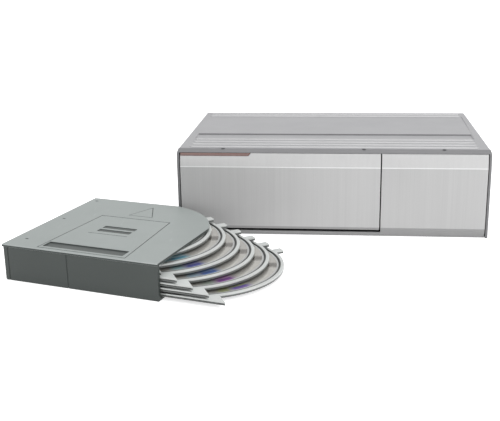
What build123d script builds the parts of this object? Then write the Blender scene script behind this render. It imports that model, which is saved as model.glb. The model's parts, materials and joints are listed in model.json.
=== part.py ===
"""Car disc changer with its six-disc magazine standing in front of it.

Millimetres. +X to the right seen from the front, +Y to the rear, +Z up.
The origin is the centre of the unit's bottom face.
"""
from build123d import *
from math import cos, pi, radians, sin, tan
import os

os.makedirs("parts", exist_ok=True)


def save(piece, name, place=Location()):
    """Put a finished piece in its place, label it and write it under its own name."""
    shape = piece.part.moved(place)
    shape.label = name
    export_step(shape, f"parts/{name}.step")


# ---------------------------------------------------------------- driving sizes
GAP = 0.3                   # running clearance between moving pieces
SHEET = 1.0                 # steel sheet of pan, cover and bay

# magazine and its discs
TRAYS = 6
PITCH = 4.0                 # from tray to tray
DISC_R = 60.0
DISC_HOLE_R = 7.5
DISC_THICK = 1.2
TRAY_R = DISC_R + 4.0       # rim of a tray
TRAY_THICK = 2.6
TRAY_FLOOR = 1.0            # what a disc lies on
MAG_WALL = 2.0
CENTRE = TRAY_R + 1.0       # disc centre from the spine and from the left side
MAG_LENGTH = 2 * CENTRE     # along the spine
MAG_DEPTH = CENTRE + TRAY_R + MAG_WALL
MAG_HEIGHT = TRAYS * PITCH + 2 * MAG_WALL
MAG_TURN = 16.2             # how far it stands turned from the unit
FIRST_PULL = 6.0            # how far the top tray stands out
PULL_STEP = 12.0            # and each tray under it further

# unit: the bay beside the place where a disc is played, all over one another
SIDE_ROOM = 4.8             # from the outside to the bay's left wall
BAY_ROOM = 1.4              # play of the magazine along its spine
PLAY_ROOM = DISC_R - 1.7    # from the bay to the spindle
DECK_ROOM = DISC_R - 3.1    # from the spindle to the deck's right edge
CAM_ROOM = 8.6              # from the deck's right edge to the outside
FRONT_ROOM = 9.0            # from the front face to the magazine's spine
REAR_ROOM = 38.0            # behind the magazine for pusher and feed
BAY_FLOOR = 34.6            # top of the bay floor
ROOF_ROOM = 10.4            # from the magazine's lid to the cover
WIDTH = SIDE_ROOM + MAG_LENGTH + BAY_ROOM + PLAY_ROOM + DECK_ROOM + CAM_ROOM
DEPTH = FRONT_ROOM + MAG_DEPTH + REAR_ROOM
TOP = BAY_FLOOR + MAG_HEIGHT + ROOF_ROOM
FRONT = -DEPTH / 2          # front face of door and panel
REAR = DEPTH / 2
MAG_X = -WIDTH / 2 - 112.0  # the magazine's left front corner on the table
MAG_Y = FRONT - MAG_DEPTH + 16.0

# bay inside the unit
BAY_LEFT = SIDE_ROOM - WIDTH / 2        # inner face of the bay's left wall
BAY_RIGHT = BAY_LEFT + MAG_LENGTH + BAY_ROOM
BAY_TOP = BAY_FLOOR + MAG_HEIGHT + 1.0
BAY_FRONT = FRONT + 39.0    # floor starts behind the door's swing
MAG_SEAT = FRONT + FRONT_ROOM           # the magazine's spine once it is in
BAY_BACK = MAG_SEAT + MAG_DEPTH + 1.5   # inner face of the bay's rear wall

# front face
CHEEK = 2.0                 # side cheek of the bezel
BEZEL_DEPTH = 12.0          # bezel, front to the cover's edge
PANEL_TOP = TOP - 2.0       # top edge of door and panel
CREASE = TOP - 13.4         # where the front face starts to lean back
LEAN = 2.0                  # how far the top edge leans back
FACE_WALL = 2.6             # wall of door and panel
DOOR_LEFT = CHEEK + 0.8 - WIDTH / 2
DOOR_RIGHT = BAY_RIGHT + 34.2
DOOR_BOTTOM = 5.8
ROLL_TOP = 8.0              # crease under which the face curls back
ROLL_R = 24.0               # radius of the curl
ROLL_START = radians(6.7)   # its slope at the crease
ROLL_BACK = 3.3             # inner face behind the curl
SEAM = 1.0                  # seam between door and panel
SILL_TOP = 3.65
PIVOT_Y = FRONT + 6.0       # door pins
PIVOT_Z = 36.0
PIN_R = 1.5
EAR_R = 3.5
LENS_LENGTH = 60.0
LENS_HEIGHT = 2.5

# deck that carries the drive and lifts to each tray
PLAY_X = BAY_RIGHT + PLAY_ROOM          # spindle
PLAY_Y = MAG_SEAT + MAG_DEPTH / 2 - 0.5
LIFT = 24.0
CAM_TRAVEL = 32.0
DECK_LOW = 3.6              # turntable under the lowest disc when the deck is down
TRAY_REST = (PITCH - TRAY_THICK) / 2
TABLE_Z = BAY_FLOOR + MAG_WALL + TRAY_REST + TRAY_FLOOR - DECK_LOW
DECK_TOP = TABLE_Z - 5.5
DECK_SHEET = 1.5
DECK_LEFT = BAY_RIGHT + 39.2
DECK_RIGHT = PLAY_X + DECK_ROOM
DECK_FRONT = FRONT + 22.0
DECK_BACK = BAY_BACK + 19.5

# ---------------------------------------------------------------- front bezel
EDGE_TOP = PANEL_TOP + 0.3  # lower edge of the sloped top band
BAND_WALL = 2.0
PLATE_Y = FRONT + 7.0       # plate round the magazine's slot
PLATE_WALL = 1.6
PLATE_FOOT = 40.2           # lower edge of the plate beside the slot
POCKET_BACK = FRONT + 37.6  # wall behind the door's lower half when open
POCKET_WALL = 1.2
BEARING_X = DOOR_RIGHT + 1.6
BEARING_WALL = 2.4
BUTTON_X = BAY_RIGHT + 17.8
BUTTON_Z = 55.0
BUTTON_W = 16.0
BUTTON_H = 8.0
CAGE_BACK = FRONT + 17.0    # seat of the button's spring
SCREW_XS = (38.4 - WIDTH / 2, BAY_RIGHT + 20.5, WIDTH / 2 - 37.5)
SCREW_HOLE_R = 1.1
INNER = WIDTH / 2 - CHEEK   # inner face of a cheek

with BuildPart() as front_bezel:
    # sloped top band from cheek to cheek
    with BuildSketch(Plane.YZ.offset(-INNER)):
        with BuildLine():
            Polyline(
                (FRONT + LEAN, EDGE_TOP),
                (FRONT + BEZEL_DEPTH - 3.0, TOP),
                (FRONT + BEZEL_DEPTH, TOP),
                (FRONT + BEZEL_DEPTH, TOP - BAND_WALL),
                (FRONT + LEAN + BAND_WALL, PANEL_TOP - 1.2),
                (FRONT + LEAN + BAND_WALL, EDGE_TOP),
                close=True,
            )
        make_face()
    extrude(amount=2 * INNER)
    # side cheeks with the face's lean
    for start in (-WIDTH / 2, INNER):
        with BuildSketch(Plane.YZ.offset(start)):
            with BuildLine():
                Polyline(
                    (FRONT + 0.6, 0),
                    (FRONT + 0.6, CREASE),
                    (FRONT + LEAN, EDGE_TOP),
                    (FRONT + BEZEL_DEPTH - 3.0, TOP),
                    (FRONT + BEZEL_DEPTH, TOP),
                    (FRONT + BEZEL_DEPTH, 0),
                    close=True,
                )
            make_face()
        extrude(amount=CHEEK)
    # plate with the magazine's slot, open below for the door's lower half
    with BuildSketch(Plane.XZ.offset(-PLATE_Y)):
        with BuildLine():
            Polyline(
                (-INNER, TOP - BAND_WALL),
                (INNER, TOP - BAND_WALL),
                (INNER, SHEET),
                (BEARING_X, SHEET),
                (BEARING_X, PLATE_FOOT),
                (BAY_RIGHT, PLATE_FOOT),
                (BAY_RIGHT, BAY_TOP),
                (-INNER, BAY_TOP),
                close=True,
            )
        make_face()
        with Locations((BUTTON_X, BUTTON_Z)):
            Rectangle(BUTTON_W + 2 * GAP, BUTTON_H + 2 * GAP, mode=Mode.SUBTRACT)
    extrude(amount=-PLATE_WALL)
    # cage that holds the button and its spring behind the plate
    with BuildSketch(Plane.XY.offset(BUTTON_Z - BUTTON_H / 2 - 2.5)):
        with Locations((BUTTON_X, (PLATE_Y + PLATE_WALL + CAGE_BACK) / 2)):
            Rectangle(BUTTON_W + 9.0, CAGE_BACK - PLATE_Y - PLATE_WALL)
            Rectangle(BUTTON_W + 6.0, CAGE_BACK - PLATE_Y, mode=Mode.SUBTRACT)
        with Locations((BUTTON_X, CAGE_BACK + 0.6)):
            Rectangle(BUTTON_W + 9.0, 1.2)
    extrude(amount=BUTTON_H + 5.0)
    # wall beside the door with the boss for its right pin
    with BuildSketch(Plane.YZ.offset(BEARING_X)):
        with BuildLine():
            Polyline(
                (PIVOT_Y, PIVOT_Z - EAR_R),
                (PLATE_Y, PIVOT_Z - EAR_R - 6.0),
                (PLATE_Y, SHEET),
                (POCKET_BACK + POCKET_WALL, SHEET),
                (POCKET_BACK + POCKET_WALL, PLATE_FOOT),
                (PLATE_Y, PLATE_FOOT),
                (PIVOT_Y, PIVOT_Z + EAR_R),
                close=True,
            )
        make_face()
        with Locations((PIVOT_Y, PIVOT_Z)):
            Circle(PIVOT_Y - FRONT - FACE_WALL - GAP)
    extrude(amount=BEARING_WALL)
    # floor and back of the pocket that the door's lower half swings into
    with BuildSketch(Plane.YZ.offset(-INNER + 0.1)):
        with BuildLine():
            Polyline(
                (FRONT + 3.4, SHEET),
                (FRONT + 3.4, SHEET + POCKET_WALL),
                (POCKET_BACK, SHEET + POCKET_WALL),
                (POCKET_BACK, BAY_FLOOR - SHEET),
                (POCKET_BACK + POCKET_WALL, BAY_FLOOR - SHEET),
                (POCKET_BACK + POCKET_WALL, SHEET),
                close=True,
            )
        make_face()
    extrude(amount=BEARING_X + INNER)
    # foot between the cheek and the pocket's floor
    with BuildSketch(Plane.XY.offset(SHEET)):
        for side in (-1, 1):
            with Locations((side * (INNER - 0.5), FRONT + 7.7)):
                Rectangle(3.0, 8.6)
    extrude(amount=POCKET_WALL)
    # pin seats: blind in the left cheek, open in the bearing wall
    for start, depth in ((-INNER - 1.4, 1.6), (BEARING_X - 0.5, BEARING_WALL + 1.0)):
        with BuildSketch(Plane.YZ.offset(start)):
            with Locations((PIVOT_Y, PIVOT_Z)):
                Circle(PIN_R + 0.05)
        extrude(amount=depth, mode=Mode.SUBTRACT)
    # screw holes through the flat of the top band
    with BuildSketch(Plane.XY.offset(TOP)):
        for x in SCREW_XS:
            with Locations((x, FRONT + BEZEL_DEPTH - 2.0)):
                Circle(SCREW_HOLE_R)
    extrude(amount=-BAND_WALL * 2, mode=Mode.SUBTRACT)
save(front_bezel, "front_bezel")

with BuildPart() as bezel_screws:
    for x in SCREW_XS:
        with BuildSketch(Plane.XY.offset(TOP + 0.3)):
            with Locations((x, FRONT + BEZEL_DEPTH - 2.0)):
                Circle(SCREW_HOLE_R + 0.6)
        extrude(amount=-0.3)
        with BuildSketch(Plane.XY.offset(TOP)):
            with Locations((x, FRONT + BEZEL_DEPTH - 2.0)):
                Circle(SCREW_HOLE_R - 0.05)
        extrude(amount=-BAND_WALL - 1.0)
save(bezel_screws, "bezel_screws")

# ---------------------------------------------------------------- front panel and sill
PANEL_LEFT = DOOR_RIGHT + SEAM
PANEL_RIGHT = INNER - 0.7


def roll_y(z):
    """Place of the curled lower edge at a height."""
    slope = sin(ROLL_START) + (ROLL_TOP - z) / ROLL_R
    return FRONT + ROLL_R * (cos(ROLL_START) - (1 - slope**2) ** 0.5)


def curl(low, high):
    """Outer line of the curled lower edge between two heights, from below."""
    middle = (low + high) / 2
    ThreePointArc((roll_y(low), low), (roll_y(middle), middle), (roll_y(high), high))


with BuildPart() as front_panel:
    with BuildSketch(Plane.YZ.offset(PANEL_LEFT)):
        with BuildLine():
            curl(0, ROLL_TOP)
            Line((FRONT, ROLL_TOP), (FRONT, CREASE))
            Line((FRONT, CREASE), (FRONT + LEAN, PANEL_TOP))
            Line((FRONT + LEAN, PANEL_TOP), (FRONT + LEAN + 1.6, PANEL_TOP))
            Line((FRONT + LEAN + 1.6, PANEL_TOP), (FRONT + FACE_WALL, CREASE - 1.0))
            Line((FRONT + FACE_WALL, CREASE - 1.0), (FRONT + FACE_WALL, ROLL_TOP))
            Line((FRONT + FACE_WALL, ROLL_TOP), (FRONT + ROLL_BACK, SILL_TOP))
            Line((FRONT + ROLL_BACK, SILL_TOP), (FRONT + ROLL_BACK, 0))
            Line((FRONT + ROLL_BACK, 0), (roll_y(0), 0))
        make_face()
    extrude(amount=PANEL_RIGHT - PANEL_LEFT)
    # sill that runs on under the door
    with BuildSketch(Plane.YZ.offset(-INNER + 0.2)):
        with BuildLine():
            curl(0, SILL_TOP)
            Line((roll_y(SILL_TOP), SILL_TOP), (FRONT + ROLL_BACK, SILL_TOP))
            Line((FRONT + ROLL_BACK, SILL_TOP), (FRONT + ROLL_BACK, 0))
            Line((FRONT + ROLL_BACK, 0), (roll_y(0), 0))
        make_face()
    extrude(amount=PANEL_LEFT + INNER)
    # pegs that snap against the plate behind the panel
    with BuildSketch(Plane.XZ.offset(-FRONT - FACE_WALL + 0.4)):
        with Locations(((PANEL_LEFT + PANEL_RIGHT) / 2 + 2.0, 34.0)):
            with GridLocations(64.0, 44.0, 2, 2):
                Rectangle(5.0, 3.0)
    extrude(amount=-(PLATE_Y - FRONT - FACE_WALL + 0.4))
save(front_panel, "front_panel")

# ---------------------------------------------------------------- door
EAR_X = 1.6                 # ear's thickness along its pin
LIP = 1.4                   # depth of the stiffening lip round the door's back

with BuildPart() as door:
    with BuildSketch(Plane.YZ.offset(DOOR_LEFT)):
        with BuildLine():
            curl(DOOR_BOTTOM, ROLL_TOP)
            Line((FRONT, ROLL_TOP), (FRONT, CREASE))
            Line((FRONT, CREASE), (FRONT + LEAN, PANEL_TOP))
            Line((FRONT + LEAN, PANEL_TOP), (FRONT + LEAN + 1.6, PANEL_TOP))
            Line((FRONT + LEAN + 1.6, PANEL_TOP), (FRONT + FACE_WALL, CREASE - 1.0))
            Line((FRONT + FACE_WALL, CREASE - 1.0), (FRONT + FACE_WALL, DOOR_BOTTOM))
            Line((FRONT + FACE_WALL, DOOR_BOTTOM), (roll_y(DOOR_BOTTOM), DOOR_BOTTOM))
        make_face()
    extrude(amount=DOOR_RIGHT - DOOR_LEFT)
    # ears with their bosses round the pins
    for start in (DOOR_LEFT + 0.3, DOOR_RIGHT - EAR_X - 0.3):
        with BuildSketch(Plane.YZ.offset(start)):
            with BuildLine():
                Polyline(
                    (FRONT + FACE_WALL - 0.3, PIVOT_Z + 16.0),
                    (PIVOT_Y, PIVOT_Z + EAR_R),
                    (PIVOT_Y, PIVOT_Z - EAR_R),
                    (FRONT + FACE_WALL - 0.3, PIVOT_Z - 16.0),
                    close=True,
                )
            make_face()
            with Locations((PIVOT_Y, PIVOT_Z)):
                Circle(EAR_R)
                Circle(PIN_R, mode=Mode.SUBTRACT)
        extrude(amount=EAR_X)
    # stiffening ribs across the back
    with BuildSketch(Plane.XZ.offset(-FRONT - FACE_WALL + 0.3)):
        with Locations(((DOOR_LEFT + DOOR_RIGHT) / 2, PIVOT_Z - 4.0)):
            with GridLocations(1, 22.0, 1, 3):
                Rectangle(DOOR_RIGHT - DOOR_LEFT - 8.0, 1.2)
            with GridLocations(38.0, 1, 5, 1):
                Rectangle(1.2, 45.2)
    extrude(amount=-LIP - 0.3)
    # slanted seat of the lens in the top left corner
    with BuildSketch(Plane.XZ.offset(-FRONT + 1.0)):
        with BuildLine():
            Polyline(
                (DOOR_LEFT - 1.0, PANEL_TOP - LENS_HEIGHT),
                (DOOR_LEFT - 1.0, PANEL_TOP + 1.0),
                (DOOR_LEFT + LENS_LENGTH + 0.6, PANEL_TOP + 1.0),
                (DOOR_LEFT + LENS_LENGTH - 2.0, PANEL_TOP - LENS_HEIGHT),
                close=True,
            )
        make_face()
    extrude(amount=-6.0, mode=Mode.SUBTRACT)
save(door, "door")

with BuildPart() as door_lens:
    with BuildSketch(Plane.YZ.offset(DOOR_LEFT + 0.2)):
        with BuildLine():
            Polyline(
                (FRONT + LEAN - LEAN * LENS_HEIGHT / (PANEL_TOP - CREASE), PANEL_TOP - LENS_HEIGHT),
                (FRONT + LEAN, PANEL_TOP),
                (FRONT + LEAN + 1.6, PANEL_TOP),
                (FRONT + LEAN + 1.0, PANEL_TOP - LENS_HEIGHT),
                close=True,
            )
        make_face()
    extrude(amount=LENS_LENGTH)
    with BuildSketch(Plane.XZ.offset(-FRONT + 1.0)):
        with BuildLine():
            Polyline(
                (DOOR_LEFT + LENS_LENGTH + 2.0, PANEL_TOP - LENS_HEIGHT - 1.0),
                (DOOR_LEFT + LENS_LENGTH + 2.0, PANEL_TOP + 1.0),
                (DOOR_LEFT + LENS_LENGTH + 0.5, PANEL_TOP + 1.0),
                (DOOR_LEFT + LENS_LENGTH - 3.1, PANEL_TOP - LENS_HEIGHT - 1.0),
                close=True,
            )
        make_face()
    extrude(amount=-6.0, mode=Mode.SUBTRACT)
save(door_lens, "door_lens")

with BuildPart() as door_pins:
    with BuildSketch(Plane.YZ.offset(-INNER - 1.0)):
        with Locations((PIVOT_Y, PIVOT_Z)):
            Circle(PIN_R)
    extrude(amount=DOOR_LEFT + 0.3 + EAR_X + 0.8 + INNER + 1.0)
    with BuildSketch(Plane.YZ.offset(DOOR_RIGHT - 0.3 - EAR_X - 0.8)):
        with Locations((PIVOT_Y, PIVOT_Z)):
            Circle(PIN_R)
    extrude(amount=BEARING_X + BEARING_WALL - DOOR_RIGHT + 0.3 + EAR_X + 0.8)
save(door_pins, "door_pins")

# ---------------------------------------------------------------- chassis pan
PAN_SIDE = WIDTH / 2 - SHEET            # outer face of a side wall
PAN_BACK = REAR - SHEET                 # outer face of the rear wall
PAN_FRONT = FRONT + BEZEL_DEPTH + 0.2
PAN_TOP = TOP - SHEET - 0.1
BRACKET_YS = (FRONT + 34.0, REAR - 28.0)
BRACKET_ZS = (12.0, 52.0)
BRACKET_R = 2.0                         # tapped for the mounting brackets
DIAL_Y = REAR - 82.0
DIAL_Z = 32.0
DIAL_R = 9.0
DIAL_HUB_R = 4.0
DATA_X = BAY_LEFT + 37.2
DATA_Z = 20.0
DATA_R = 7.5
AUDIO_X = DATA_X + 36.0
AUDIO_STEP = 15.0
AUDIO_R = 4.6
BOARD_Z = 8.0                           # underside of the circuit board
BOARD_X = BAY_LEFT + 65.2
BOARD_Y = FRONT + 92.0
BOARD_W = 112.0
BOARD_D = 90.0
POST_XYS = ((DECK_RIGHT - 6.4, DECK_FRONT + 5.0), (DECK_RIGHT - 27.4, DECK_BACK - 3.5))
POST_R = 2.0

with BuildPart() as chassis_pan:
    # floor, drawn in between the cheeks
    with BuildSketch():
        with Locations((0, (PAN_FRONT + PAN_BACK) / 2)):
            Rectangle(2 * PAN_SIDE, PAN_BACK - PAN_FRONT)
        with Locations((0, (FRONT + ROLL_BACK + PAN_FRONT) / 2)):
            Rectangle(2 * INNER - 0.2, PAN_FRONT - FRONT - ROLL_BACK)
    extrude(amount=SHEET)
    # side and rear walls
    with BuildSketch():
        with Locations((0, (PAN_FRONT + PAN_BACK) / 2)):
            Rectangle(2 * PAN_SIDE, PAN_BACK - PAN_FRONT)
        with Locations((0, (PAN_FRONT + PAN_BACK) / 2 - SHEET)):
            Rectangle(2 * (PAN_SIDE - SHEET), PAN_BACK - PAN_FRONT, mode=Mode.SUBTRACT)
    extrude(amount=PAN_TOP)
    # stiffening bead along the floor
    with BuildSketch(Plane.XY.offset(SHEET)):
        with Locations((60.0, FRONT + 70.0)):
            SlotOverall(70.0, 6.0)
    extrude(amount=0.8, taper=40)
    # stand-offs of the circuit board
    with BuildSketch(Plane.XY.offset(SHEET)):
        with Locations((BOARD_X, BOARD_Y)):
            with GridLocations(BOARD_W - 8.0, BOARD_D - 8.0, 2, 2):
                Circle(3.0)
    extrude(amount=BOARD_Z - SHEET)
    # collars and holes for the mounting brackets, both sides
    for side in (-1, 1):
        with BuildSketch(Plane.YZ.offset(side * (PAN_SIDE - SHEET - 0.8))):
            for y in BRACKET_YS:
                for z in BRACKET_ZS:
                    with Locations((y, z)):
                        Circle(BRACKET_R + 1.6)
        extrude(amount=side * 1.0)
        with BuildSketch(Plane.YZ.offset(side * (PAN_SIDE - SHEET - 1.0))):
            for y in BRACKET_YS:
                for z in BRACKET_ZS:
                    with Locations((y, z)):
                        Circle(BRACKET_R)
            with Locations((DIAL_Y, DIAL_Z)):
                Circle(DIAL_HUB_R + 0.1)
        extrude(amount=side * 3.0, mode=Mode.SUBTRACT)
    # rear openings for the sockets
    with BuildSketch(Plane.XZ.offset(-PAN_BACK - 1.0)):
        with Locations((DATA_X, DATA_Z)):
            Circle(DATA_R + 0.1)
        for i in range(2):
            with Locations((AUDIO_X + i * AUDIO_STEP, DATA_Z)):
                Circle(AUDIO_R + 0.1)
    extrude(amount=3.0, mode=Mode.SUBTRACT)
save(chassis_pan, "chassis_pan")

# ---------------------------------------------------------------- top cover
SKIRT = 0.9
SKIRT_FOOT = TOP - 11.0
COVER_FRONT = FRONT + BEZEL_DEPTH + 0.2
BEAD_RISE = 1.1
BEAD_WIDTH = 5.2
FRONT_BEADS = 4
FIRST_BEAD = FRONT + 16.5
BEAD_STEP = 10.0
BEAD_LENGTH = WIDTH - 17.0
REAR_BEADS = (REAR - 20.5, REAR - 10.5)
REAR_BEAD_LENGTH = WIDTH - 11.0
TROUGH_FRONT = FRONT + 52.0
TROUGH_BACK = FRONT + 73.0
TROUGH_DEPTH = 1.3
TROUGH_LENGTH = WIDTH - 14.4
BEAD_YS = [FIRST_BEAD + i * BEAD_STEP for i in range(FRONT_BEADS)]
COVER_SCREW_YS = (FRONT + 30.0, REAR - 30.0)
COVER_SCREW_Z = TOP - 6.0

with BuildPart() as top_cover:
    with BuildSketch(Plane.XY.offset(SKIRT_FOOT)):
        with Locations((0, (COVER_FRONT + REAR) / 2)):
            Rectangle(WIDTH, REAR - COVER_FRONT)
    extrude(amount=TOP - SKIRT_FOOT)
    with BuildSketch(Plane.XY.offset(SKIRT_FOOT)):
        with Locations((0, (COVER_FRONT + REAR) / 2 - SKIRT)):
            Rectangle(WIDTH - 2 * SKIRT, REAR - COVER_FRONT)
    extrude(amount=TOP - SHEET - SKIRT_FOOT, mode=Mode.SUBTRACT)
    fillet(top_cover.edges().filter_by(Axis.Y).group_by(Axis.Z)[-1], 0.8)
    # trough pressed down behind the front beads
    trough_y = (TROUGH_FRONT + TROUGH_BACK) / 2
    with BuildSketch(Plane.XY.offset(TOP - SHEET)):
        with Locations((0, trough_y)):
            Rectangle(TROUGH_LENGTH, TROUGH_BACK - TROUGH_FRONT)
    extrude(amount=-TROUGH_DEPTH, taper=30)
    with BuildSketch(Plane.XY.offset(TOP)):
        with Locations((0, trough_y)):
            Rectangle(TROUGH_LENGTH, TROUGH_BACK - TROUGH_FRONT)
    extrude(amount=-TROUGH_DEPTH, taper=30, mode=Mode.SUBTRACT)
    # raised beads, hollow underneath
    for length, ys in ((BEAD_LENGTH, BEAD_YS), (REAR_BEAD_LENGTH, REAR_BEADS)):
        for y in ys:
            with BuildSketch(Plane.XY.offset(TOP)):
                with Locations((0, y)):
                    SlotOverall(length, BEAD_WIDTH)
            extrude(amount=BEAD_RISE, taper=45)
            with BuildSketch(Plane.XY.offset(TOP - SHEET)):
                with Locations((0, y)):
                    SlotOverall(length - 1.0, BEAD_WIDTH - 1.0)
            extrude(amount=BEAD_RISE, taper=45, mode=Mode.SUBTRACT)
    # screw holes in the side skirts
    for side in (-1, 1):
        with BuildSketch(Plane.YZ.offset(side * (WIDTH / 2 - SKIRT - 0.5))):
            for y in COVER_SCREW_YS:
                with Locations((y, COVER_SCREW_Z)):
                    Circle(1.6)
        extrude(amount=side * 2.0, mode=Mode.SUBTRACT)
save(top_cover, "top_cover")

with BuildPart() as cover_screws:
    for side in (-1, 1):
        for start, length, radius in ((PAN_SIDE + 0.02, 1.0, 1.5), (WIDTH / 2, 0.6, 2.8)):
            with BuildSketch(Plane.YZ.offset(side * start)):
                for y in COVER_SCREW_YS:
                    with Locations((y, COVER_SCREW_Z)):
                        Circle(radius)
            extrude(amount=side * length)
save(cover_screws, "cover_screws")

# ---------------------------------------------------------------- mounting-angle dials
for side, name in ((-1, "dial_left"), (1, "dial_right")):
    with BuildPart() as dial:
        # hub through the wall, flange outside with a finger bar across it
        with BuildSketch(Plane.YZ.offset(side * (PAN_SIDE - SHEET - 1.4))):
            with Locations((DIAL_Y, DIAL_Z)):
                Circle(DIAL_HUB_R)
        extrude(amount=side * (SHEET + 1.5))
        with BuildSketch(Plane.YZ.offset(side * (PAN_SIDE + 0.05))):
            with Locations((DIAL_Y, DIAL_Z)):
                Circle(DIAL_R)
        extrude(amount=side * 0.85)
        with BuildSketch(Plane.YZ.offset(side * (PAN_SIDE + 0.4))):
            with Locations((DIAL_Y - 4.0, DIAL_Z), (DIAL_Y + 4.0, DIAL_Z)):
                Rectangle(4.0, 12.0)
        extrude(amount=side * 1.0, mode=Mode.SUBTRACT)
    save(dial, name)

# ---------------------------------------------------------------- board and sockets
BOARD_THICK = 1.6

with BuildPart() as main_board:
    with BuildSketch(Plane.XY.offset(BOARD_Z)):
        with Locations((BOARD_X, BOARD_Y)):
            Rectangle(BOARD_W, BOARD_D)
            with GridLocations(BOARD_W - 8.0, BOARD_D - 8.0, 2, 2):
                Circle(1.5, mode=Mode.SUBTRACT)
    extrude(amount=BOARD_THICK)
save(main_board, "main_board")

with BuildPart() as board_components:
    # flat packages, then two upright capacitors
    for x, y, w, d, h in ((-20, 8, 20, 20, 2.2), (22, 10, 14, 14, 2.0), (-10, -26, 24, 9, 3.4)):
        with BuildSketch(Plane.XY.offset(BOARD_Z + BOARD_THICK)):
            with Locations((BOARD_X + x, BOARD_Y + y)):
                Rectangle(w, d)
        extrude(amount=h)
    with BuildSketch(Plane.XY.offset(BOARD_Z + BOARD_THICK)):
        with Locations((BOARD_X + 36, BOARD_Y - 22), (BOARD_X + 36, BOARD_Y - 6)):
            Circle(5.0)
    extrude(amount=12.0)
save(board_components, "board_components")

with BuildPart() as data_socket:
    # round socket body with its well, and its flange inside the rear wall
    with BuildSketch(Plane.XZ.offset(-PAN_BACK - SKIRT)):
        with Locations((DATA_X, DATA_Z)):
            Circle(DATA_R)
    extrude(amount=16.0)
    with BuildSketch(Plane.XZ.offset(-PAN_BACK + SHEET)):
        with Locations((DATA_X, DATA_Z)):
            Rectangle(2 * DATA_R + 6.0, 2 * DATA_R + 4.0)
    extrude(amount=2.0)
    with BuildSketch(Plane.XZ.offset(-PAN_BACK - SKIRT)):
        with Locations((DATA_X, DATA_Z)):
            Circle(DATA_R - 1.2)
    extrude(amount=8.0, mode=Mode.SUBTRACT)
save(data_socket, "data_socket")

with BuildPart() as audio_sockets:
    for i in range(2):
        with BuildSketch(Plane.XZ.offset(-PAN_BACK - 6.0)):
            with Locations((AUDIO_X + i * AUDIO_STEP, DATA_Z)):
                Circle(AUDIO_R - 0.8)
                Circle(1.7, mode=Mode.SUBTRACT)
        extrude(amount=6.0)
        with BuildSketch(Plane.XZ.offset(-PAN_BACK)):
            with Locations((AUDIO_X + i * AUDIO_STEP, DATA_Z)):
                Circle(AUDIO_R)
        extrude(amount=SHEET)
    with BuildSketch(Plane.XZ.offset(-PAN_BACK + SHEET)):
        with Locations((AUDIO_X + AUDIO_STEP / 2, DATA_Z)):
            Rectangle(AUDIO_STEP + 2 * AUDIO_R + 2.0, 2 * AUDIO_R + 4.0)
    extrude(amount=9.0)
save(audio_sockets, "audio_sockets")

# ---------------------------------------------------------------- magazine bay
BAY_ROOF_FRONT = PLATE_Y + PLATE_WALL
REAR_WALL_RIGHT = BAY_RIGHT - 41.2      # leaves the corner free for the tray arm
LATCH_X = BAY_RIGHT + 9.8
LATCH_Y = MAG_SEAT + 57.0
LATCH_NOSE_Y = MAG_SEAT + 43.0
PUSHER_X = BAY_LEFT + 45.2
PUSHER_Z = BAY_FLOOR + 14.4
ROD_STEP = 44.0                         # between the pusher's two rods
ROD_R = 2.0
PUSHER_TRAVEL = 17.0

with BuildPart() as magazine_bay:
    # floor with the tab of the latch, and roof
    with BuildSketch(Plane.XY.offset(BAY_FLOOR - SHEET)):
        with Locations(((BAY_LEFT + BAY_RIGHT) / 2, (BAY_FRONT + BAY_BACK) / 2)):
            Rectangle(BAY_RIGHT - BAY_LEFT, BAY_BACK - BAY_FRONT)
        with Locations(((BAY_RIGHT + LATCH_X + 6.0) / 2, LATCH_Y)):
            Rectangle(LATCH_X + 6.0 - BAY_RIGHT, 14.0)
    extrude(amount=SHEET)
    with BuildSketch(Plane.XY.offset(BAY_TOP)):
        with Locations(((BAY_LEFT + BAY_RIGHT) / 2, (BAY_ROOF_FRONT + BAY_BACK) / 2)):
            Rectangle(BAY_RIGHT - BAY_LEFT, BAY_BACK - BAY_ROOF_FRONT)
    extrude(amount=SHEET)
    # left wall, cut away where the door's end swings
    with BuildSketch(Plane.YZ.offset(BAY_LEFT - SHEET)):
        with BuildLine():
            Polyline(
                (BAY_FRONT, SHEET),
                (BAY_BACK, SHEET),
                (BAY_BACK, BAY_TOP + SHEET),
                (BAY_ROOF_FRONT, BAY_TOP + SHEET),
                (BAY_ROOF_FRONT, PLATE_FOOT + 2.0),
                (BAY_FRONT, PLATE_FOOT + 2.0),
                close=True,
            )
        make_face()
    extrude(amount=SHEET)
    # leg under the floor's right edge
    with BuildSketch(Plane.YZ.offset(BAY_RIGHT - SHEET)):
        with Locations(((BAY_FRONT + BAY_BACK) / 2 + 3.0, (SHEET + BAY_FLOOR) / 2)):
            Rectangle(BAY_BACK - BAY_FRONT - 6.0, BAY_FLOOR - SHEET)
            Rectangle(BAY_BACK - BAY_FRONT - 46.0, BAY_FLOOR - SHEET - 12.0, mode=Mode.SUBTRACT)
    extrude(amount=SHEET)
    # rear wall with the holes of the pusher's rods
    with BuildSketch(Plane.XZ.offset(-BAY_BACK)):
        with BuildLine():
            Polyline(
                (BAY_LEFT - SHEET, SHEET),
                (REAR_WALL_RIGHT, SHEET),
                (REAR_WALL_RIGHT, BAY_TOP + SHEET),
                (BAY_LEFT - SHEET, BAY_TOP + SHEET),
                close=True,
            )
        make_face()
        with Locations((PUSHER_X, PUSHER_Z)):
            with GridLocations(ROD_STEP, 1, 2, 1):
                Circle(ROD_R + 0.05, mode=Mode.SUBTRACT)
    extrude(amount=-SHEET)
    # stud of the latch
    with BuildSketch(Plane.XY.offset(BAY_FLOOR)):
        with Locations((LATCH_X, LATCH_Y)):
            Circle(1.5)
    extrude(amount=1.8)
save(magazine_bay, "magazine_bay")

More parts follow.
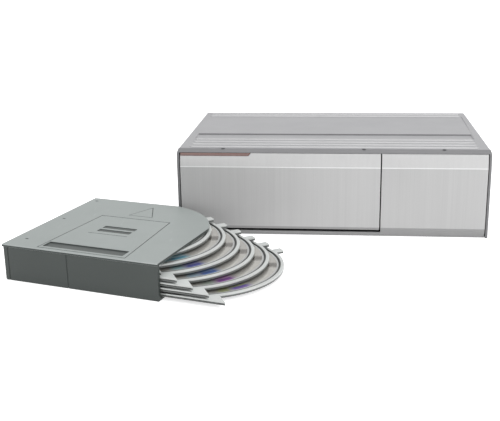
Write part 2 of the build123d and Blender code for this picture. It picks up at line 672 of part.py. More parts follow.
with BuildPart() as magazine_latch:
    with BuildSketch(Plane.XY.offset(BAY_FLOOR + 0.15)):
        with BuildLine():
            Polyline(
                (LATCH_X + 3.0, LATCH_Y),
                (LATCH_X + 1.0, LATCH_NOSE_Y - 4.0),
                (BAY_RIGHT + 0.4, LATCH_NOSE_Y - 4.0),
                (BAY_RIGHT - 3.0, LATCH_NOSE_Y + 1.0),
                (BAY_RIGHT + 0.4, LATCH_NOSE_Y + 1.0),
                (LATCH_X - 3.0, LATCH_Y - 4.0),
                (LATCH_X - 3.0, LATCH_Y),
                close=True,
            )
        make_face()
        with Locations((LATCH_X, LATCH_Y)):
            Circle(3.6)
            Circle(1.55, mode=Mode.SUBTRACT)
    extrude(amount=1.2)
save(magazine_latch, "magazine_latch")

PUSHER_FACE = BAY_BACK - PUSHER_TRAVEL - 5.0

with BuildPart() as eject_pusher:
    with BuildSketch(Plane.XZ.offset(-PUSHER_FACE)):
        with Locations((PUSHER_X, PUSHER_Z)):
            RectangleRounded(ROD_STEP + 12.0, 18.0, 3.0)
    extrude(amount=-3.0)
    with BuildSketch(Plane.XZ.offset(-PUSHER_FACE - 3.0)):
        with Locations((PUSHER_X, PUSHER_Z)):
            with GridLocations(ROD_STEP, 1, 2, 1):
                Circle(ROD_R)
    extrude(amount=-(BAY_BACK + SHEET + 3.0 - PUSHER_FACE - 3.0))
    # collars behind the wall keep the rods in
    with BuildSketch(Plane.XZ.offset(-BAY_BACK - SHEET - 0.1)):
        with Locations((PUSHER_X, PUSHER_Z)):
            with GridLocations(ROD_STEP, 1, 2, 1):
                Circle(ROD_R + 1.5)
    extrude(amount=-1.5)
save(eject_pusher, "eject_pusher")

LEAF = 0.5                  # thickness of the leaf springs


def bow_spring(centre_x, seat_y, tip_y, half, z, height):
    """Bowed leaf that stands on its two ends at seat_y and bulges to tip_y."""
    with BuildPart() as spring:
        with BuildSketch(Plane.XY.offset(z - height / 2)):
            with BuildLine():
                ThreePointArc((centre_x - half, seat_y), (centre_x, tip_y), (centre_x + half, seat_y))
                Line((centre_x + half, seat_y), (centre_x + half - LEAF, seat_y))
                ThreePointArc((centre_x + half - LEAF, seat_y), (centre_x, tip_y + LEAF),
                              (centre_x - half + LEAF, seat_y))
                Line((centre_x - half + LEAF, seat_y), (centre_x - half, seat_y))
            make_face()
        extrude(amount=height)
    return spring


pusher_spring = bow_spring(PUSHER_X, BAY_BACK, PUSHER_FACE + 3.0, ROD_STEP / 2 - 4.0, PUSHER_Z, 8.0)
save(pusher_spring, "pusher_spring")

# ---------------------------------------------------------------- eject button
BUTTON_FRONT = FRONT + 5.0
BUTTON_BACK = PLATE_Y + PLATE_WALL + 2.4

with BuildPart() as eject_button:
    with BuildSketch(Plane.XZ.offset(-BUTTON_FRONT)):
        with Locations((BUTTON_X, BUTTON_Z)):
            RectangleRounded(BUTTON_W, BUTTON_H, 1.5)
    extrude(amount=-(BUTTON_BACK - BUTTON_FRONT))
    # flange that stops it behind the plate
    with BuildSketch(Plane.XZ.offset(-PLATE_Y - PLATE_WALL - 0.1)):
        with Locations((BUTTON_X, BUTTON_Z)):
            Rectangle(BUTTON_W + 4.0, BUTTON_H)
    extrude(amount=-(BUTTON_BACK - PLATE_Y - PLATE_WALL - 0.1))
    fillet(eject_button.faces().sort_by(Axis.Y)[0].edges(), 0.5)
save(eject_button, "eject_button")

button_spring = bow_spring(BUTTON_X, CAGE_BACK, BUTTON_BACK, BUTTON_W / 2, BUTTON_Z, 5.0)
save(button_spring, "button_spring")

# ---------------------------------------------------------------- drive deck
EAR = 1.5                   # folded ears and lugs of the deck
WINDOW_W = 26.0
WINDOW_FRONT = PLAY_Y + 12.6
WINDOW_BACK = BAY_BACK + 8.5
ROD_Z = TABLE_Z - 10.0
ROD_GAP = 30.0              # between the pickup's rods
PICKUP_ROD_R = 1.5
ROD_FRONT = PLAY_Y + 6.0
ROD_BACK = BAY_BACK + 11.5
RAIL_Y = BAY_BACK + 4.5
RAIL_Z = TABLE_Z - 0.5
RAIL_R = 2.0
RAIL_LEFT = BAY_RIGHT - 38.2
RAIL_RIGHT = DECK_RIGHT - 2.4
SCREW_Y = RAIL_Y + 6.0
FEED_R = 1.5
CLAMP_Y = BAY_BACK + 16.5
CLAMP_Z = TABLE_Z + 6.6
CLAMP_EARS = 24.0
CAM_X = DECK_RIGHT + 1.1    # inner face of the cam slide
CAM_SHEET = 1.2
PINS = ((DECK_FRONT + 28.0, 20.0), (BAY_BACK - 23.5, 20.0))
FOLLOWER_R = 2.4
SLED_SCREW_X = PLAY_X + ROD_GAP / 2 + 6.5
SLED_SCREW_Z = TABLE_Z - 12.6
DECK_UNDER = DECK_TOP - DECK_SHEET

with BuildPart() as deck_plate:
    with BuildSketch(Plane.XY.offset(DECK_UNDER)):
        with Locations(((DECK_LEFT + DECK_RIGHT) / 2, (DECK_FRONT + DECK_BACK) / 2)):
            Rectangle(DECK_RIGHT - DECK_LEFT, DECK_BACK - DECK_FRONT)
        # arm behind the bay that carries the feed rail and its motor
        with Locations(((RAIL_LEFT - 20.0 + DECK_LEFT) / 2, (BAY_BACK + 2.5 + SCREW_Y + 4.0) / 2)):
            Rectangle(DECK_LEFT - RAIL_LEFT + 20.0, SCREW_Y + 4.0 - BAY_BACK - 2.5)
        with Locations((PLAY_X, PLAY_Y)):
            Circle(9.0, mode=Mode.SUBTRACT)
        with Locations((PLAY_X, (WINDOW_FRONT + WINDOW_BACK) / 2)):
            Rectangle(WINDOW_W, WINDOW_BACK - WINDOW_FRONT, mode=Mode.SUBTRACT)
    extrude(amount=DECK_SHEET)
    # right flange with the pins of the followers
    with BuildSketch(Plane.YZ.offset(DECK_RIGHT - EAR)):
        with BuildLine():
            Polyline(
                (PINS[0][0] - 10.0, DECK_TOP - 0.5),
                (PINS[0][0] - 6.0, PINS[0][1] - 5.0),
                (PINS[1][0] + 6.0, PINS[1][1] - 5.0),
                (PINS[1][0] + 10.0, DECK_TOP - 0.5),
                close=True,
            )
        make_face()
    extrude(amount=EAR)
    with BuildSketch(Plane.YZ.offset(DECK_RIGHT)):
        with Locations(*PINS):
            Circle(1.2)
    extrude(amount=CAM_SHEET + 1.6)
    # bushes that run on the guide posts
    with BuildSketch(Plane.XY.offset(DECK_UNDER - 5.0)):
        with Locations(*POST_XYS):
            Circle(POST_R + 2.0)
    extrude(amount=5.0 + DECK_SHEET)
    with BuildSketch(Plane.XY.offset(DECK_UNDER - 6.0)):
        with Locations(*POST_XYS):
            Circle(POST_R + 0.08)
    extrude(amount=8.0 + DECK_SHEET, mode=Mode.SUBTRACT)
    # lugs of the pickup's rods, front and back
    for y in (ROD_FRONT, ROD_BACK - EAR):
        with BuildSketch(Plane.XZ.offset(-y)):
            for x in (PLAY_X - ROD_GAP / 2, PLAY_X + ROD_GAP / 2):
                with Locations((x, (ROD_Z - 3.0 + DECK_UNDER) / 2 + 0.2)):
                    Rectangle(6.0, DECK_UNDER - ROD_Z + 3.4)
                with Locations((x, ROD_Z)):
                    Circle(PICKUP_ROD_R, mode=Mode.SUBTRACT)
        extrude(amount=-EAR)
    # bearing lug of the sled screw at the back
    with BuildSketch(Plane.XZ.offset(-ROD_BACK + EAR)):
        with Locations((SLED_SCREW_X, (SLED_SCREW_Z - 3.0 + DECK_UNDER) / 2 + 0.2)):
            Rectangle(5.0, DECK_UNDER - SLED_SCREW_Z + 3.4)
        with Locations((SLED_SCREW_X, SLED_SCREW_Z)):
            Circle(FEED_R + 0.05, mode=Mode.SUBTRACT)
    extrude(amount=-EAR)
    # ears of the feed rail and screw
    for x in (RAIL_LEFT, RAIL_RIGHT - EAR):
        with BuildSketch(Plane.YZ.offset(x)):
            with Locations(((RAIL_Y + SCREW_Y) / 2, (DECK_TOP - 0.5 + RAIL_Z + 3.0) / 2)):
                Rectangle(SCREW_Y - RAIL_Y + 7.0, RAIL_Z + 3.5 - DECK_TOP)
            with Locations((RAIL_Y, RAIL_Z)):
                Circle(RAIL_R, mode=Mode.SUBTRACT)
            with Locations((SCREW_Y, RAIL_Z)):
                Circle(FEED_R + 0.05, mode=Mode.SUBTRACT)
        extrude(amount=EAR)
    # ears of the clamp arm
    for x in (PLAY_X - CLAMP_EARS / 2 - EAR, PLAY_X + CLAMP_EARS / 2):
        with BuildSketch(Plane.YZ.offset(x)):
            with BuildLine():
                Polyline(
                    (CLAMP_Y - 3.0, DECK_TOP - 0.5),
                    (CLAMP_Y + 3.0, DECK_TOP - 0.5),
                    (CLAMP_Y + 3.0, CLAMP_Z),
                    (CLAMP_Y - 3.0, CLAMP_Z),
                    close=True,
                )
            make_face()
            with Locations((CLAMP_Y, CLAMP_Z)):
                Circle(3.0)
                Circle(1.25, mode=Mode.SUBTRACT)
        extrude(amount=EAR)
save(deck_plate, "deck_plate")

with BuildPart() as guide_posts:
    with BuildSketch(Plane.XY.offset(SHEET)):
        with Locations(*POST_XYS):
            Circle(POST_R)
    extrude(amount=56.0)
    with BuildSketch(Plane.XY.offset(SHEET)):
        with Locations(*POST_XYS):
            Circle(POST_R + 2.5)
    extrude(amount=2.0)
save(guide_posts, "guide_posts")

with BuildPart() as follower_rollers:
    for y, z in PINS:
        with BuildSketch(Plane.YZ.offset(CAM_X - 0.1)):
            with Locations((y, z)):
                Circle(FOLLOWER_R)
                Circle(1.2, mode=Mode.SUBTRACT)
        extrude(amount=CAM_SHEET + 0.2)
save(follower_rollers, "follower_rollers")

with BuildPart() as spindle_motor:
    with BuildSketch(Plane.XY.offset(DECK_UNDER)):
        with Locations((PLAY_X, PLAY_Y)):
            Circle(12.0)
    extrude(amount=-2.0)
    with BuildSketch(Plane.XY.offset(DECK_UNDER - 2.0)):
        with Locations((PLAY_X, PLAY_Y)):
            Circle(11.0)
    extrude(amount=-7.4)
    with BuildSketch(Plane.XY.offset(DECK_UNDER)):
        with Locations((PLAY_X, PLAY_Y)):
            Circle(4.0)
    extrude(amount=3.0)
    with BuildSketch(Plane.XY.offset(DECK_UNDER + 3.0)):
        with Locations((PLAY_X, PLAY_Y)):
            Circle(1.05)
    extrude(amount=-8.0, mode=Mode.SUBTRACT)
save(spindle_motor, "spindle_motor")

with BuildPart() as turntable:
    # platter, centring cone and shaft, turned in one profile
    with BuildSketch(Plane.XZ.offset(-PLAY_Y)):
        with BuildLine():
            Polyline(
                (PLAY_X, TABLE_Z + 2.4),
                (PLAY_X + 5.6, TABLE_Z + 2.4),
                (PLAY_X + DISC_HOLE_R - 0.2, TABLE_Z + 0.6),
                (PLAY_X + DISC_HOLE_R - 0.2, TABLE_Z),
                (PLAY_X + 14.0, TABLE_Z),
                (PLAY_X + 14.0, TABLE_Z - 1.8),
                (PLAY_X + 6.0, TABLE_Z - 2.6),
                (PLAY_X + 6.0, TABLE_Z - 3.6),
                (PLAY_X + 1.0, TABLE_Z - 3.6),
                (PLAY_X + 1.0, TABLE_Z - 11.0),
                (PLAY_X, TABLE_Z - 11.0),
                close=True,
            )
        make_face()
    revolve(axis=Axis((PLAY_X, PLAY_Y, 0), (0, 0, 1)))
save(turntable, "turntable")

with BuildPart() as clamp_arm:
    arm_half = CLAMP_EARS / 2 - 0.4
    with BuildSketch(Plane.XY.offset(TABLE_Z + 5.2)):
        with BuildLine():
            Polyline(
                (PLAY_X - arm_half, CLAMP_Y - 3.0),
                (PLAY_X + arm_half, CLAMP_Y - 3.0),
                (PLAY_X + 8.0, PLAY_Y),
                (PLAY_X - 8.0, PLAY_Y),
                close=True,
            )
        make_face()
        with Locations((PLAY_X, PLAY_Y)):
            Circle(8.0)
            Circle(2.6, mode=Mode.SUBTRACT)
        with Locations((PLAY_X, (PLAY_Y + CLAMP_Y) / 2 + 8.0)):
            SlotOverall(40.0, 8.0, rotation=90, mode=Mode.SUBTRACT)
    extrude(amount=1.2)
    # folded cheeks round the hinge rod
    for x in (PLAY_X - arm_half, PLAY_X + arm_half - 1.2):
        with BuildSketch(Plane.YZ.offset(x)):
            with Locations((CLAMP_Y, CLAMP_Z)):
                Circle(2.4)
            with Locations((CLAMP_Y - 3.0, CLAMP_Z - 0.5)):
                Rectangle(6.0, 1.8)
        extrude(amount=1.2)
    with BuildSketch(Plane.YZ.offset(PLAY_X - CLAMP_EARS / 2 - EAR)):
        with Locations((CLAMP_Y, CLAMP_Z)):
            Circle(1.2)
    extrude(amount=CLAMP_EARS + 2 * EAR)
save(clamp_arm, "clamp_arm")

with BuildPart() as clamp_puck:
    with BuildSketch(Plane.XZ.offset(-PLAY_Y)):
        with BuildLine():
            Polyline(
                (PLAY_X, TABLE_Z + 3.2),
                (PLAY_X + 8.2, TABLE_Z + 3.2),
                (PLAY_X + 8.6, TABLE_Z + 1.6),
                (PLAY_X + 13.0, TABLE_Z + 1.6),
                (PLAY_X + 13.0, TABLE_Z + 2.8),
                (PLAY_X + 9.0, TABLE_Z + 5.1),
                (PLAY_X + 2.4, TABLE_Z + 5.1),
                (PLAY_X + 2.4, TABLE_Z + 6.5),
                (PLAY_X + 3.6, TABLE_Z + 6.5),
                (PLAY_X + 3.6, TABLE_Z + 7.0),
                (PLAY_X, TABLE_Z + 7.0),
                close=True,
            )
        make_face()
    revolve(axis=Axis((PLAY_X, PLAY_Y, 0), (0, 0, 1)))
save(clamp_puck, "clamp_puck")

# ---------------------------------------------------------------- pickup and its drive
SLED_FRONT = PLAY_Y + 13.4
SLED_LENGTH = 26.0
LENS_Y = SLED_FRONT + 8.6

with BuildPart() as guide_rods:
    for x in (PLAY_X - ROD_GAP / 2, PLAY_X + ROD_GAP / 2):
        with BuildSketch(Plane.XZ.offset(-ROD_FRONT)):
            with Locations((x, ROD_Z)):
                Circle(PICKUP_ROD_R)
        extrude(amount=-(ROD_BACK - ROD_FRONT))
save(guide_rods, "guide_rods")

with BuildPart() as pickup_sled:
    # optical block between two bored sides
    with BuildSketch(Plane.XZ.offset(-SLED_FRONT)):
        with Locations((PLAY_X, ROD_Z)):
            Rectangle(ROD_GAP + 7.0, 5.4)
        with Locations((PLAY_X, (ROD_Z + TABLE_Z - 4.0) / 2)):
            Rectangle(WINDOW_W - 4.0, TABLE_Z - 4.0 - ROD_Z)
        with Locations((PLAY_X - ROD_GAP / 2, ROD_Z), (PLAY_X + ROD_GAP / 2, ROD_Z)):
            Circle(PICKUP_ROD_R + 0.05, mode=Mode.SUBTRACT)
    extrude(amount=-SLED_LENGTH)
    # nut on the sled screw
    with BuildSketch(Plane.XZ.offset(-SLED_FRONT - 8.0)):
        with Locations((SLED_SCREW_X - 0.8, SLED_SCREW_Z + 0.6)):
            Rectangle(6.4, 5.4)
        with Locations((SLED_SCREW_X, SLED_SCREW_Z)):
            Circle(FEED_R + 0.1, mode=Mode.SUBTRACT)
    extrude(amount=-8.0)
    # well round the lens
    with BuildSketch(Plane.XY.offset(TABLE_Z - 4.0)):
        with Locations((PLAY_X, LENS_Y)):
            Circle(5.0)
    extrude(amount=-1.5, mode=Mode.SUBTRACT)
save(pickup_sled, "pickup_sled")

with BuildPart() as objective_lens:
    with BuildSketch(Plane.XY.offset(TABLE_Z - 5.5)):
        with Locations((PLAY_X, LENS_Y)):
            Circle(4.4)
    extrude(amount=2.6)
    with BuildSketch(Plane.XY.offset(TABLE_Z - 2.9)):
        with Locations((PLAY_X, LENS_Y)):
            Circle(2.4)
    extrude(amount=1.0, taper=35)
save(objective_lens, "objective_lens")

SLED_MOTOR_FRONT = FRONT + 62.0
SLED_MOTOR_LENGTH = 16.0

with BuildPart() as sled_motor:
    with BuildSketch(Plane.XZ.offset(-SLED_MOTOR_FRONT)):
        with Locations((SLED_SCREW_X, SLED_SCREW_Z)):
            Circle(5.0)
        with Locations((SLED_SCREW_X, (SLED_SCREW_Z + DECK_UNDER) / 2)):
            Rectangle(7.0, DECK_UNDER - SLED_SCREW_Z)
    extrude(amount=-SLED_MOTOR_LENGTH)
    with BuildSketch(Plane.XZ.offset(-SLED_MOTOR_FRONT - SLED_MOTOR_LENGTH)):
        with Locations((SLED_SCREW_X, SLED_SCREW_Z)):
            Circle(1.05)
    extrude(amount=9.0, mode=Mode.SUBTRACT)
save(sled_motor, "sled_motor")

with BuildPart() as sled_screw:
    with BuildSketch(Plane.XZ.offset(-SLED_MOTOR_FRONT - SLED_MOTOR_LENGTH + 8.0)):
        with Locations((SLED_SCREW_X, SLED_SCREW_Z)):
            Circle(1.0)
    extrude(amount=-9.0)
    with BuildSketch(Plane.XZ.offset(-SLED_MOTOR_FRONT - SLED_MOTOR_LENGTH - 0.5)):
        with Locations((SLED_SCREW_X, SLED_SCREW_Z)):
            Circle(FEED_R)
    extrude(amount=-(ROD_BACK - SLED_MOTOR_FRONT - SLED_MOTOR_LENGTH - 0.5))
save(sled_screw, "sled_screw")

# ---------------------------------------------------------------- tray arm and its feed
ARM_WIDTH = 14.0
ARM_LEFT = RAIL_LEFT + 5.8

with BuildPart() as feed_rail:
    with BuildSketch(Plane.YZ.offset(RAIL_LEFT)):
        with Locations((RAIL_Y, RAIL_Z)):
            Circle(RAIL_R)
    extrude(amount=RAIL_RIGHT - RAIL_LEFT)
save(feed_rail, "feed_rail")

with BuildPart() as tray_arm:
    # block on the rail and the screw, with a low finger that reaches the trays' lugs
    with BuildSketch(Plane.YZ.offset(ARM_LEFT)):
        with Locations(((RAIL_Y + SCREW_Y) / 2 - 0.3, RAIL_Z)):
            Rectangle(SCREW_Y - RAIL_Y + 5.8, 6.6)
        with Locations((RAIL_Y, RAIL_Z)):
            Circle(RAIL_R + 0.05, mode=Mode.SUBTRACT)
        with Locations((SCREW_Y, RAIL_Z)):
            Circle(FEED_R + 0.1, mode=Mode.SUBTRACT)
    extrude(amount=ARM_WIDTH)
    with BuildSketch(Plane.XY.offset(TABLE_Z + 1.4)):
        with BuildLine():
            Polyline(
                (ARM_LEFT + 4.0, RAIL_Y - 2.4),
                (ARM_LEFT + 4.0, RAIL_Y - 20.0),
                (ARM_LEFT + 12.0, RAIL_Y - 22.0),
                (ARM_LEFT + 12.0, RAIL_Y - 18.0),
                (ARM_LEFT + 8.0, RAIL_Y - 17.0),
                (ARM_LEFT + 10.0, RAIL_Y - 2.4),
                close=True,
            )
        make_face()
    extrude(amount=2.2)
save(tray_arm, "tray_arm")

with BuildPart() as feed_motor:
    with BuildSketch(Plane.YZ.offset(RAIL_LEFT)):
        with Locations((SCREW_Y, RAIL_Z)):
            Circle(5.0)
        with Locations((SCREW_Y, (RAIL_Z + DECK_TOP) / 2)):
            Rectangle(7.0, RAIL_Z - DECK_TOP)
    extrude(amount=-17.0)
    with BuildSketch(Plane.YZ.offset(RAIL_LEFT)):
        with Locations((SCREW_Y, RAIL_Z)):
            Circle(1.05)
    extrude(amount=-9.0, mode=Mode.SUBTRACT)
save(feed_motor, "feed_motor")

with BuildPart() as feed_screw:
    with BuildSketch(Plane.YZ.offset(RAIL_LEFT)):
        with Locations((SCREW_Y, RAIL_Z)):
            Circle(FEED_R)
    extrude(amount=RAIL_RIGHT - RAIL_LEFT)
    with BuildSketch(Plane.YZ.offset(RAIL_LEFT)):
        with Locations((SCREW_Y, RAIL_Z)):
            Circle(1.0)
    extrude(amount=-8.0)
save(feed_screw, "feed_screw")

# ---------------------------------------------------------------- elevator
MODULE = 0.8
ADDENDUM = 0.8 * MODULE
DEDENDUM = 1.2 * MODULE
TOOTH = 0.42 * pi * MODULE  # tooth width on the pitch line, less than half for backlash
SLOPE = tan(radians(20))
WHEEL_TEETH = 30
PINION_TEETH = 12
MOTOR_TEETH = 10
WHEEL_R = WHEEL_TEETH * MODULE / 2
PINION_R = PINION_TEETH * MODULE / 2
MOTOR_PINION_R = MOTOR_TEETH * MODULE / 2
RACK_Z = 5.0
RACK_HEIGHT = 3.0
WHEEL_Z = 9.6
WHEEL_THICK = 4.0
RACK_X = DECK_RIGHT - 9.4   # pitch line of the rack
WHEEL_X = RACK_X - PINION_R
WHEEL_Y = BAY_BACK - 3.5
MOTOR_Y = WHEEL_Y + WHEEL_R + MOTOR_PINION_R
STUD_R = 2.0


def gear_face(teeth, turn=0.0):
    """Outline of a spur gear with straight-flanked teeth, the first along the local x axis."""
    pitch_r = teeth * MODULE / 2
    points = []
    for i in range(teeth):
        middle = turn + 2 * pi * i / teeth
        for height, sign in ((-DEDENDUM, -1), (ADDENDUM, -1), (ADDENDUM, 1), (-DEDENDUM, 1)):
            radius = pitch_r + height
            angle = middle + sign * (TOOTH / 2 - height * SLOPE) / radius
            points.append((radius * cos(angle), radius * sin(angle)))
    return points


with BuildPart() as elevator_gear:
    with BuildSketch(Plane((WHEEL_X, WHEEL_Y, RACK_Z))):
        Polygon(*gear_face(PINION_TEETH), align=None)
        Circle(STUD_R + 0.05, mode=Mode.SUBTRACT)
    extrude(amount=WHEEL_Z - RACK_Z)
    with BuildSketch(Plane((WHEEL_X, WHEEL_Y, WHEEL_Z))):
        Polygon(*gear_face(WHEEL_TEETH), align=None)
        Circle(STUD_R + 0.05, mode=Mode.SUBTRACT)
    extrude(amount=WHEEL_THICK)
save(elevator_gear, "elevator_gear")

with BuildPart() as motor_pinion:
    with BuildSketch(Plane((WHEEL_X, MOTOR_Y, WHEEL_Z))):
        Polygon(*gear_face(MOTOR_TEETH, pi / MOTOR_TEETH), align=None)
    extrude(amount=WHEEL_THICK)
    with BuildSketch(Plane((WHEEL_X, MOTOR_Y, WHEEL_Z + WHEEL_THICK))):
        Circle(1.0)
    extrude(amount=10.0)
save(motor_pinion, "motor_pinion")

BRACKET_Z = WHEEL_Z + WHEEL_THICK + 0.6

with BuildPart() as gear_stud:
    # stud of the gear with its foot
    with BuildSketch(Plane((WHEEL_X, WHEEL_Y, SHEET))):
        Circle(STUD_R + 2.0)
    extrude(amount=RACK_Z - SHEET - 0.2)
    with BuildSketch(Plane((WHEEL_X, WHEEL_Y, SHEET))):
        Circle(STUD_R)
    extrude(amount=WHEEL_Z + WHEEL_THICK + 0.4 - SHEET)
save(gear_stud, "gear_stud")

with BuildPart() as elevator_motor:
    # can, bracket plate under it and the leg down to the floor
    with BuildSketch(Plane((WHEEL_X, MOTOR_Y, BRACKET_Z + 1.0))):
        Circle(8.0)
    extrude(amount=11.0)
    with BuildSketch(Plane.YZ.offset(WHEEL_X - 9.0)):
        with BuildLine():
            Polyline(
                (MOTOR_Y - 9.0, BRACKET_Z),
                (MOTOR_Y - 9.0, BRACKET_Z + 1.0),
                (MOTOR_Y + 12.0, BRACKET_Z + 1.0),
                (MOTOR_Y + 12.0, SHEET),
                (MOTOR_Y + 11.0, SHEET),
                (MOTOR_Y + 11.0, BRACKET_Z),
                close=True,
            )
        make_face()
    extrude(amount=12.4)
    with BuildSketch(Plane((WHEEL_X, MOTOR_Y, BRACKET_Z - 1.0))):
        Circle(1.05)
    extrude(amount=11.0, mode=Mode.SUBTRACT)
save(elevator_motor, "elevator_motor")

CAM_FRONT = FRONT + 13.5
CAM_FOOT = 1.8
CAM_TOP = PINS[0][1] + LIFT + FOLLOWER_R + 3.0
RACK_FRONT = WHEEL_Y - CAM_TRAVEL - 6.0
RACK_BACK = WHEEL_Y + 5.0

with BuildPart() as cam_slide:
    # plate with its low tail along the rack
    with BuildSketch(Plane.YZ.offset(CAM_X)):
        with BuildLine():
            Polyline(
                (CAM_FRONT, CAM_FOOT),
                (RACK_BACK, CAM_FOOT),
                (RACK_BACK, RACK_Z + RACK_HEIGHT),
                (PINS[1][0] + FOLLOWER_R + 6.0, RACK_Z + RACK_HEIGHT),
                (PINS[1][0] + FOLLOWER_R + 4.0, PINS[1][1] + 6.0),
                (PINS[1][0] - CAM_TRAVEL + 6.0, CAM_TOP),
                (CAM_FRONT, CAM_TOP),
                close=True,
            )
        make_face()
        # ramp slots of the followers
        for y, z in PINS:
            with Locations((y - CAM_TRAVEL / 2, z + LIFT / 2)):
                ramp_length = (CAM_TRAVEL**2 + LIFT**2) ** 0.5
                ramp_angle = -Vector(CAM_TRAVEL, LIFT).get_angle(Vector(1, 0))
                SlotCenterToCenter(ramp_length, 2 * FOLLOWER_R + 0.3, rotation=ramp_angle,
                                   mode=Mode.SUBTRACT)
    extrude(amount=CAM_SHEET)
    # flange with the rack's teeth
    with BuildSketch(Plane.XY.offset(RACK_Z)):
        with BuildLine():
            Polyline(
                (CAM_X, RACK_FRONT),
                (RACK_X + DEDENDUM, RACK_FRONT),
                (RACK_X + DEDENDUM, RACK_BACK),
                (CAM_X, RACK_BACK),
                close=True,
            )
        make_face()
        tooth_pitch = pi * MODULE
        for i in range(-15, 2):
            y = WHEEL_Y + (i + 0.5) * tooth_pitch
            tip = TOOTH / 2 - ADDENDUM * SLOPE
            root = TOOTH / 2 + DEDENDUM * SLOPE
            with BuildLine():
                Polyline(
                    (RACK_X + DEDENDUM, y - root),
                    (RACK_X - ADDENDUM, y - tip),
                    (RACK_X - ADDENDUM, y + tip),
                    (RACK_X + DEDENDUM, y + root),
                    close=True,
                )
            make_face()
    extrude(amount=RACK_HEIGHT)
save(cam_slide, "cam_slide")

with BuildPart() as slide_rail:
    with BuildSketch(Plane.XZ.offset(-CAM_FRONT + 0.5)):
        with BuildLine():
            Polyline(
                (CAM_X - 2.0, SHEET),
                (CAM_X - 2.0, RACK_Z - 0.6),
                (CAM_X - 0.2, RACK_Z - 0.6),
                (CAM_X - 0.2, CAM_FOOT - 0.2),
                (CAM_X + CAM_SHEET + 0.2, CAM_FOOT - 0.2),
                (CAM_X + CAM_SHEET + 0.2, RACK_Z - 0.6),
                (CAM_X + CAM_SHEET + 2.0, RACK_Z - 0.6),
                (CAM_X + CAM_SHEET + 2.0, SHEET),
                close=True,
            )
        make_face()
    extrude(amount=-(PAN_BACK - SHEET - 0.5 - CAM_FRONT))
save(slide_rail, "slide_rail")

# ---------------------------------------------------------------- magazine
MAG = Plane(
    origin=(MAG_X, MAG_Y, 0),
    x_dir=(cos(radians(MAG_TURN)), -sin(radians(MAG_TURN)), 0),
    z_dir=(0, 0, 1),
).location
CORNER_R = TRAY_R + 4.0     # rounded open corner
SPINE = 1.6                 # cap over the front wall
FRONT_WALL = 1.4
SHELF = 3.4                 # how far the tray shelves reach in
REST_GAP = 0.05
TRAY_FRONT = SPINE + FRONT_WALL + 0.4
TRAY_BACK = MAG_DEPTH - MAG_WALL - 0.6
TRAY_LEFT = MAG_WALL + 1.0
LID_Z = MAG_HEIGHT - MAG_WALL
CORNER_RIGHT_W = CENTRE + (CORNER_R**2 - CENTRE**2) ** 0.5
CORNER_BACK_U = CENTRE + (CORNER_R**2 - (MAG_DEPTH - CENTRE) ** 2) ** 0.5
CORNER_MID = CENTRE + CORNER_R * cos(radians(45))


def magazine_outline(front):
    """Plan of the magazine's plates: square on three corners, rounded on the fourth."""
    Polyline((CORNER_BACK_U, MAG_DEPTH), (0, MAG_DEPTH), (0, front), (MAG_LENGTH, front),
             (MAG_LENGTH, CORNER_RIGHT_W))
    ThreePointArc((MAG_LENGTH, CORNER_RIGHT_W), (CORNER_MID, CORNER_MID), (CORNER_BACK_U, MAG_DEPTH))


with BuildPart() as magazine_case:
    # bottom plate with the notch of the latch
    with BuildSketch():
        with BuildLine():
            magazine_outline(SPINE)
        make_face()
        with Locations((MAG_LENGTH, LATCH_NOSE_Y - MAG_SEAT)):
            Rectangle(8.0, 10.0, mode=Mode.SUBTRACT)
    extrude(amount=MAG_WALL)
    # left, back and front walls
    with BuildSketch(Plane.XY.offset(MAG_WALL)):
        with BuildLine():
            Polyline(
                (MAG_LENGTH, SPINE),
                (0, SPINE),
                (0, MAG_DEPTH),
                (CORNER_BACK_U, MAG_DEPTH),
                (CORNER_BACK_U, MAG_DEPTH - MAG_WALL),
                (MAG_WALL, MAG_DEPTH - MAG_WALL),
                (MAG_WALL, SPINE + FRONT_WALL),
                (MAG_LENGTH, SPINE + FRONT_WALL),
                close=True,
            )
        make_face()
    extrude(amount=LID_Z - MAG_WALL)
    # shelves that the trays run on
    for i in range(TRAYS):
        top = MAG_WALL + i * PITCH + TRAY_REST - REST_GAP
        thick = TRAY_REST - REST_GAP if i == 0 else PITCH - TRAY_THICK - 2 * REST_GAP - 0.3
        with BuildSketch(Plane.XY.offset(top)):
            with Locations(((MAG_LENGTH + MAG_WALL) / 2 - 1.0, SPINE + FRONT_WALL + SHELF / 2 - 0.1)):
                Rectangle(MAG_LENGTH - MAG_WALL - 2.0, SHELF + 0.2)
            with Locations(((CORNER_BACK_U + MAG_WALL) / 2, MAG_DEPTH - MAG_WALL - SHELF / 2 + 0.1)):
                Rectangle(CORNER_BACK_U - MAG_WALL, SHELF + 0.2)
        extrude(amount=-thick)
save(magazine_case, "magazine_case", MAG)

with BuildPart() as magazine_spine:
    with BuildSketch():
        with BuildLine():
            Line((MAG_LENGTH, SPINE), (0, SPINE))
            RadiusArc((0, SPINE), (SPINE, 0), SPINE)
            Line((SPINE, 0), (MAG_LENGTH, 0))
            Line((MAG_LENGTH, 0), (MAG_LENGTH, SPINE))
        make_face()
        with Locations((5.0, 0), (56.0, 0)):
            Rectangle(0.8, 1.2, mode=Mode.SUBTRACT)
    extrude(amount=LID_Z)
save(magazine_spine, "magazine_spine", MAG)

SLOT_LEFT = CENTRE - 33.6
SLOT_RIGHT = CENTRE + 33.7
FIELD_FOOT = 74.0           # outlined field, beside the spine
FIELD_HEAD = 62.4
FIELD_X = CENTRE + 1.0      # its middle beside the spine
FIELD_LEAN = -1.8           # its middle moves left towards the back
FIELD_BACK = 88.0
FIELD_FRONT = 3.0
GROOVE = 0.75               # groove round it
GROOVE_DEPTH = 0.3

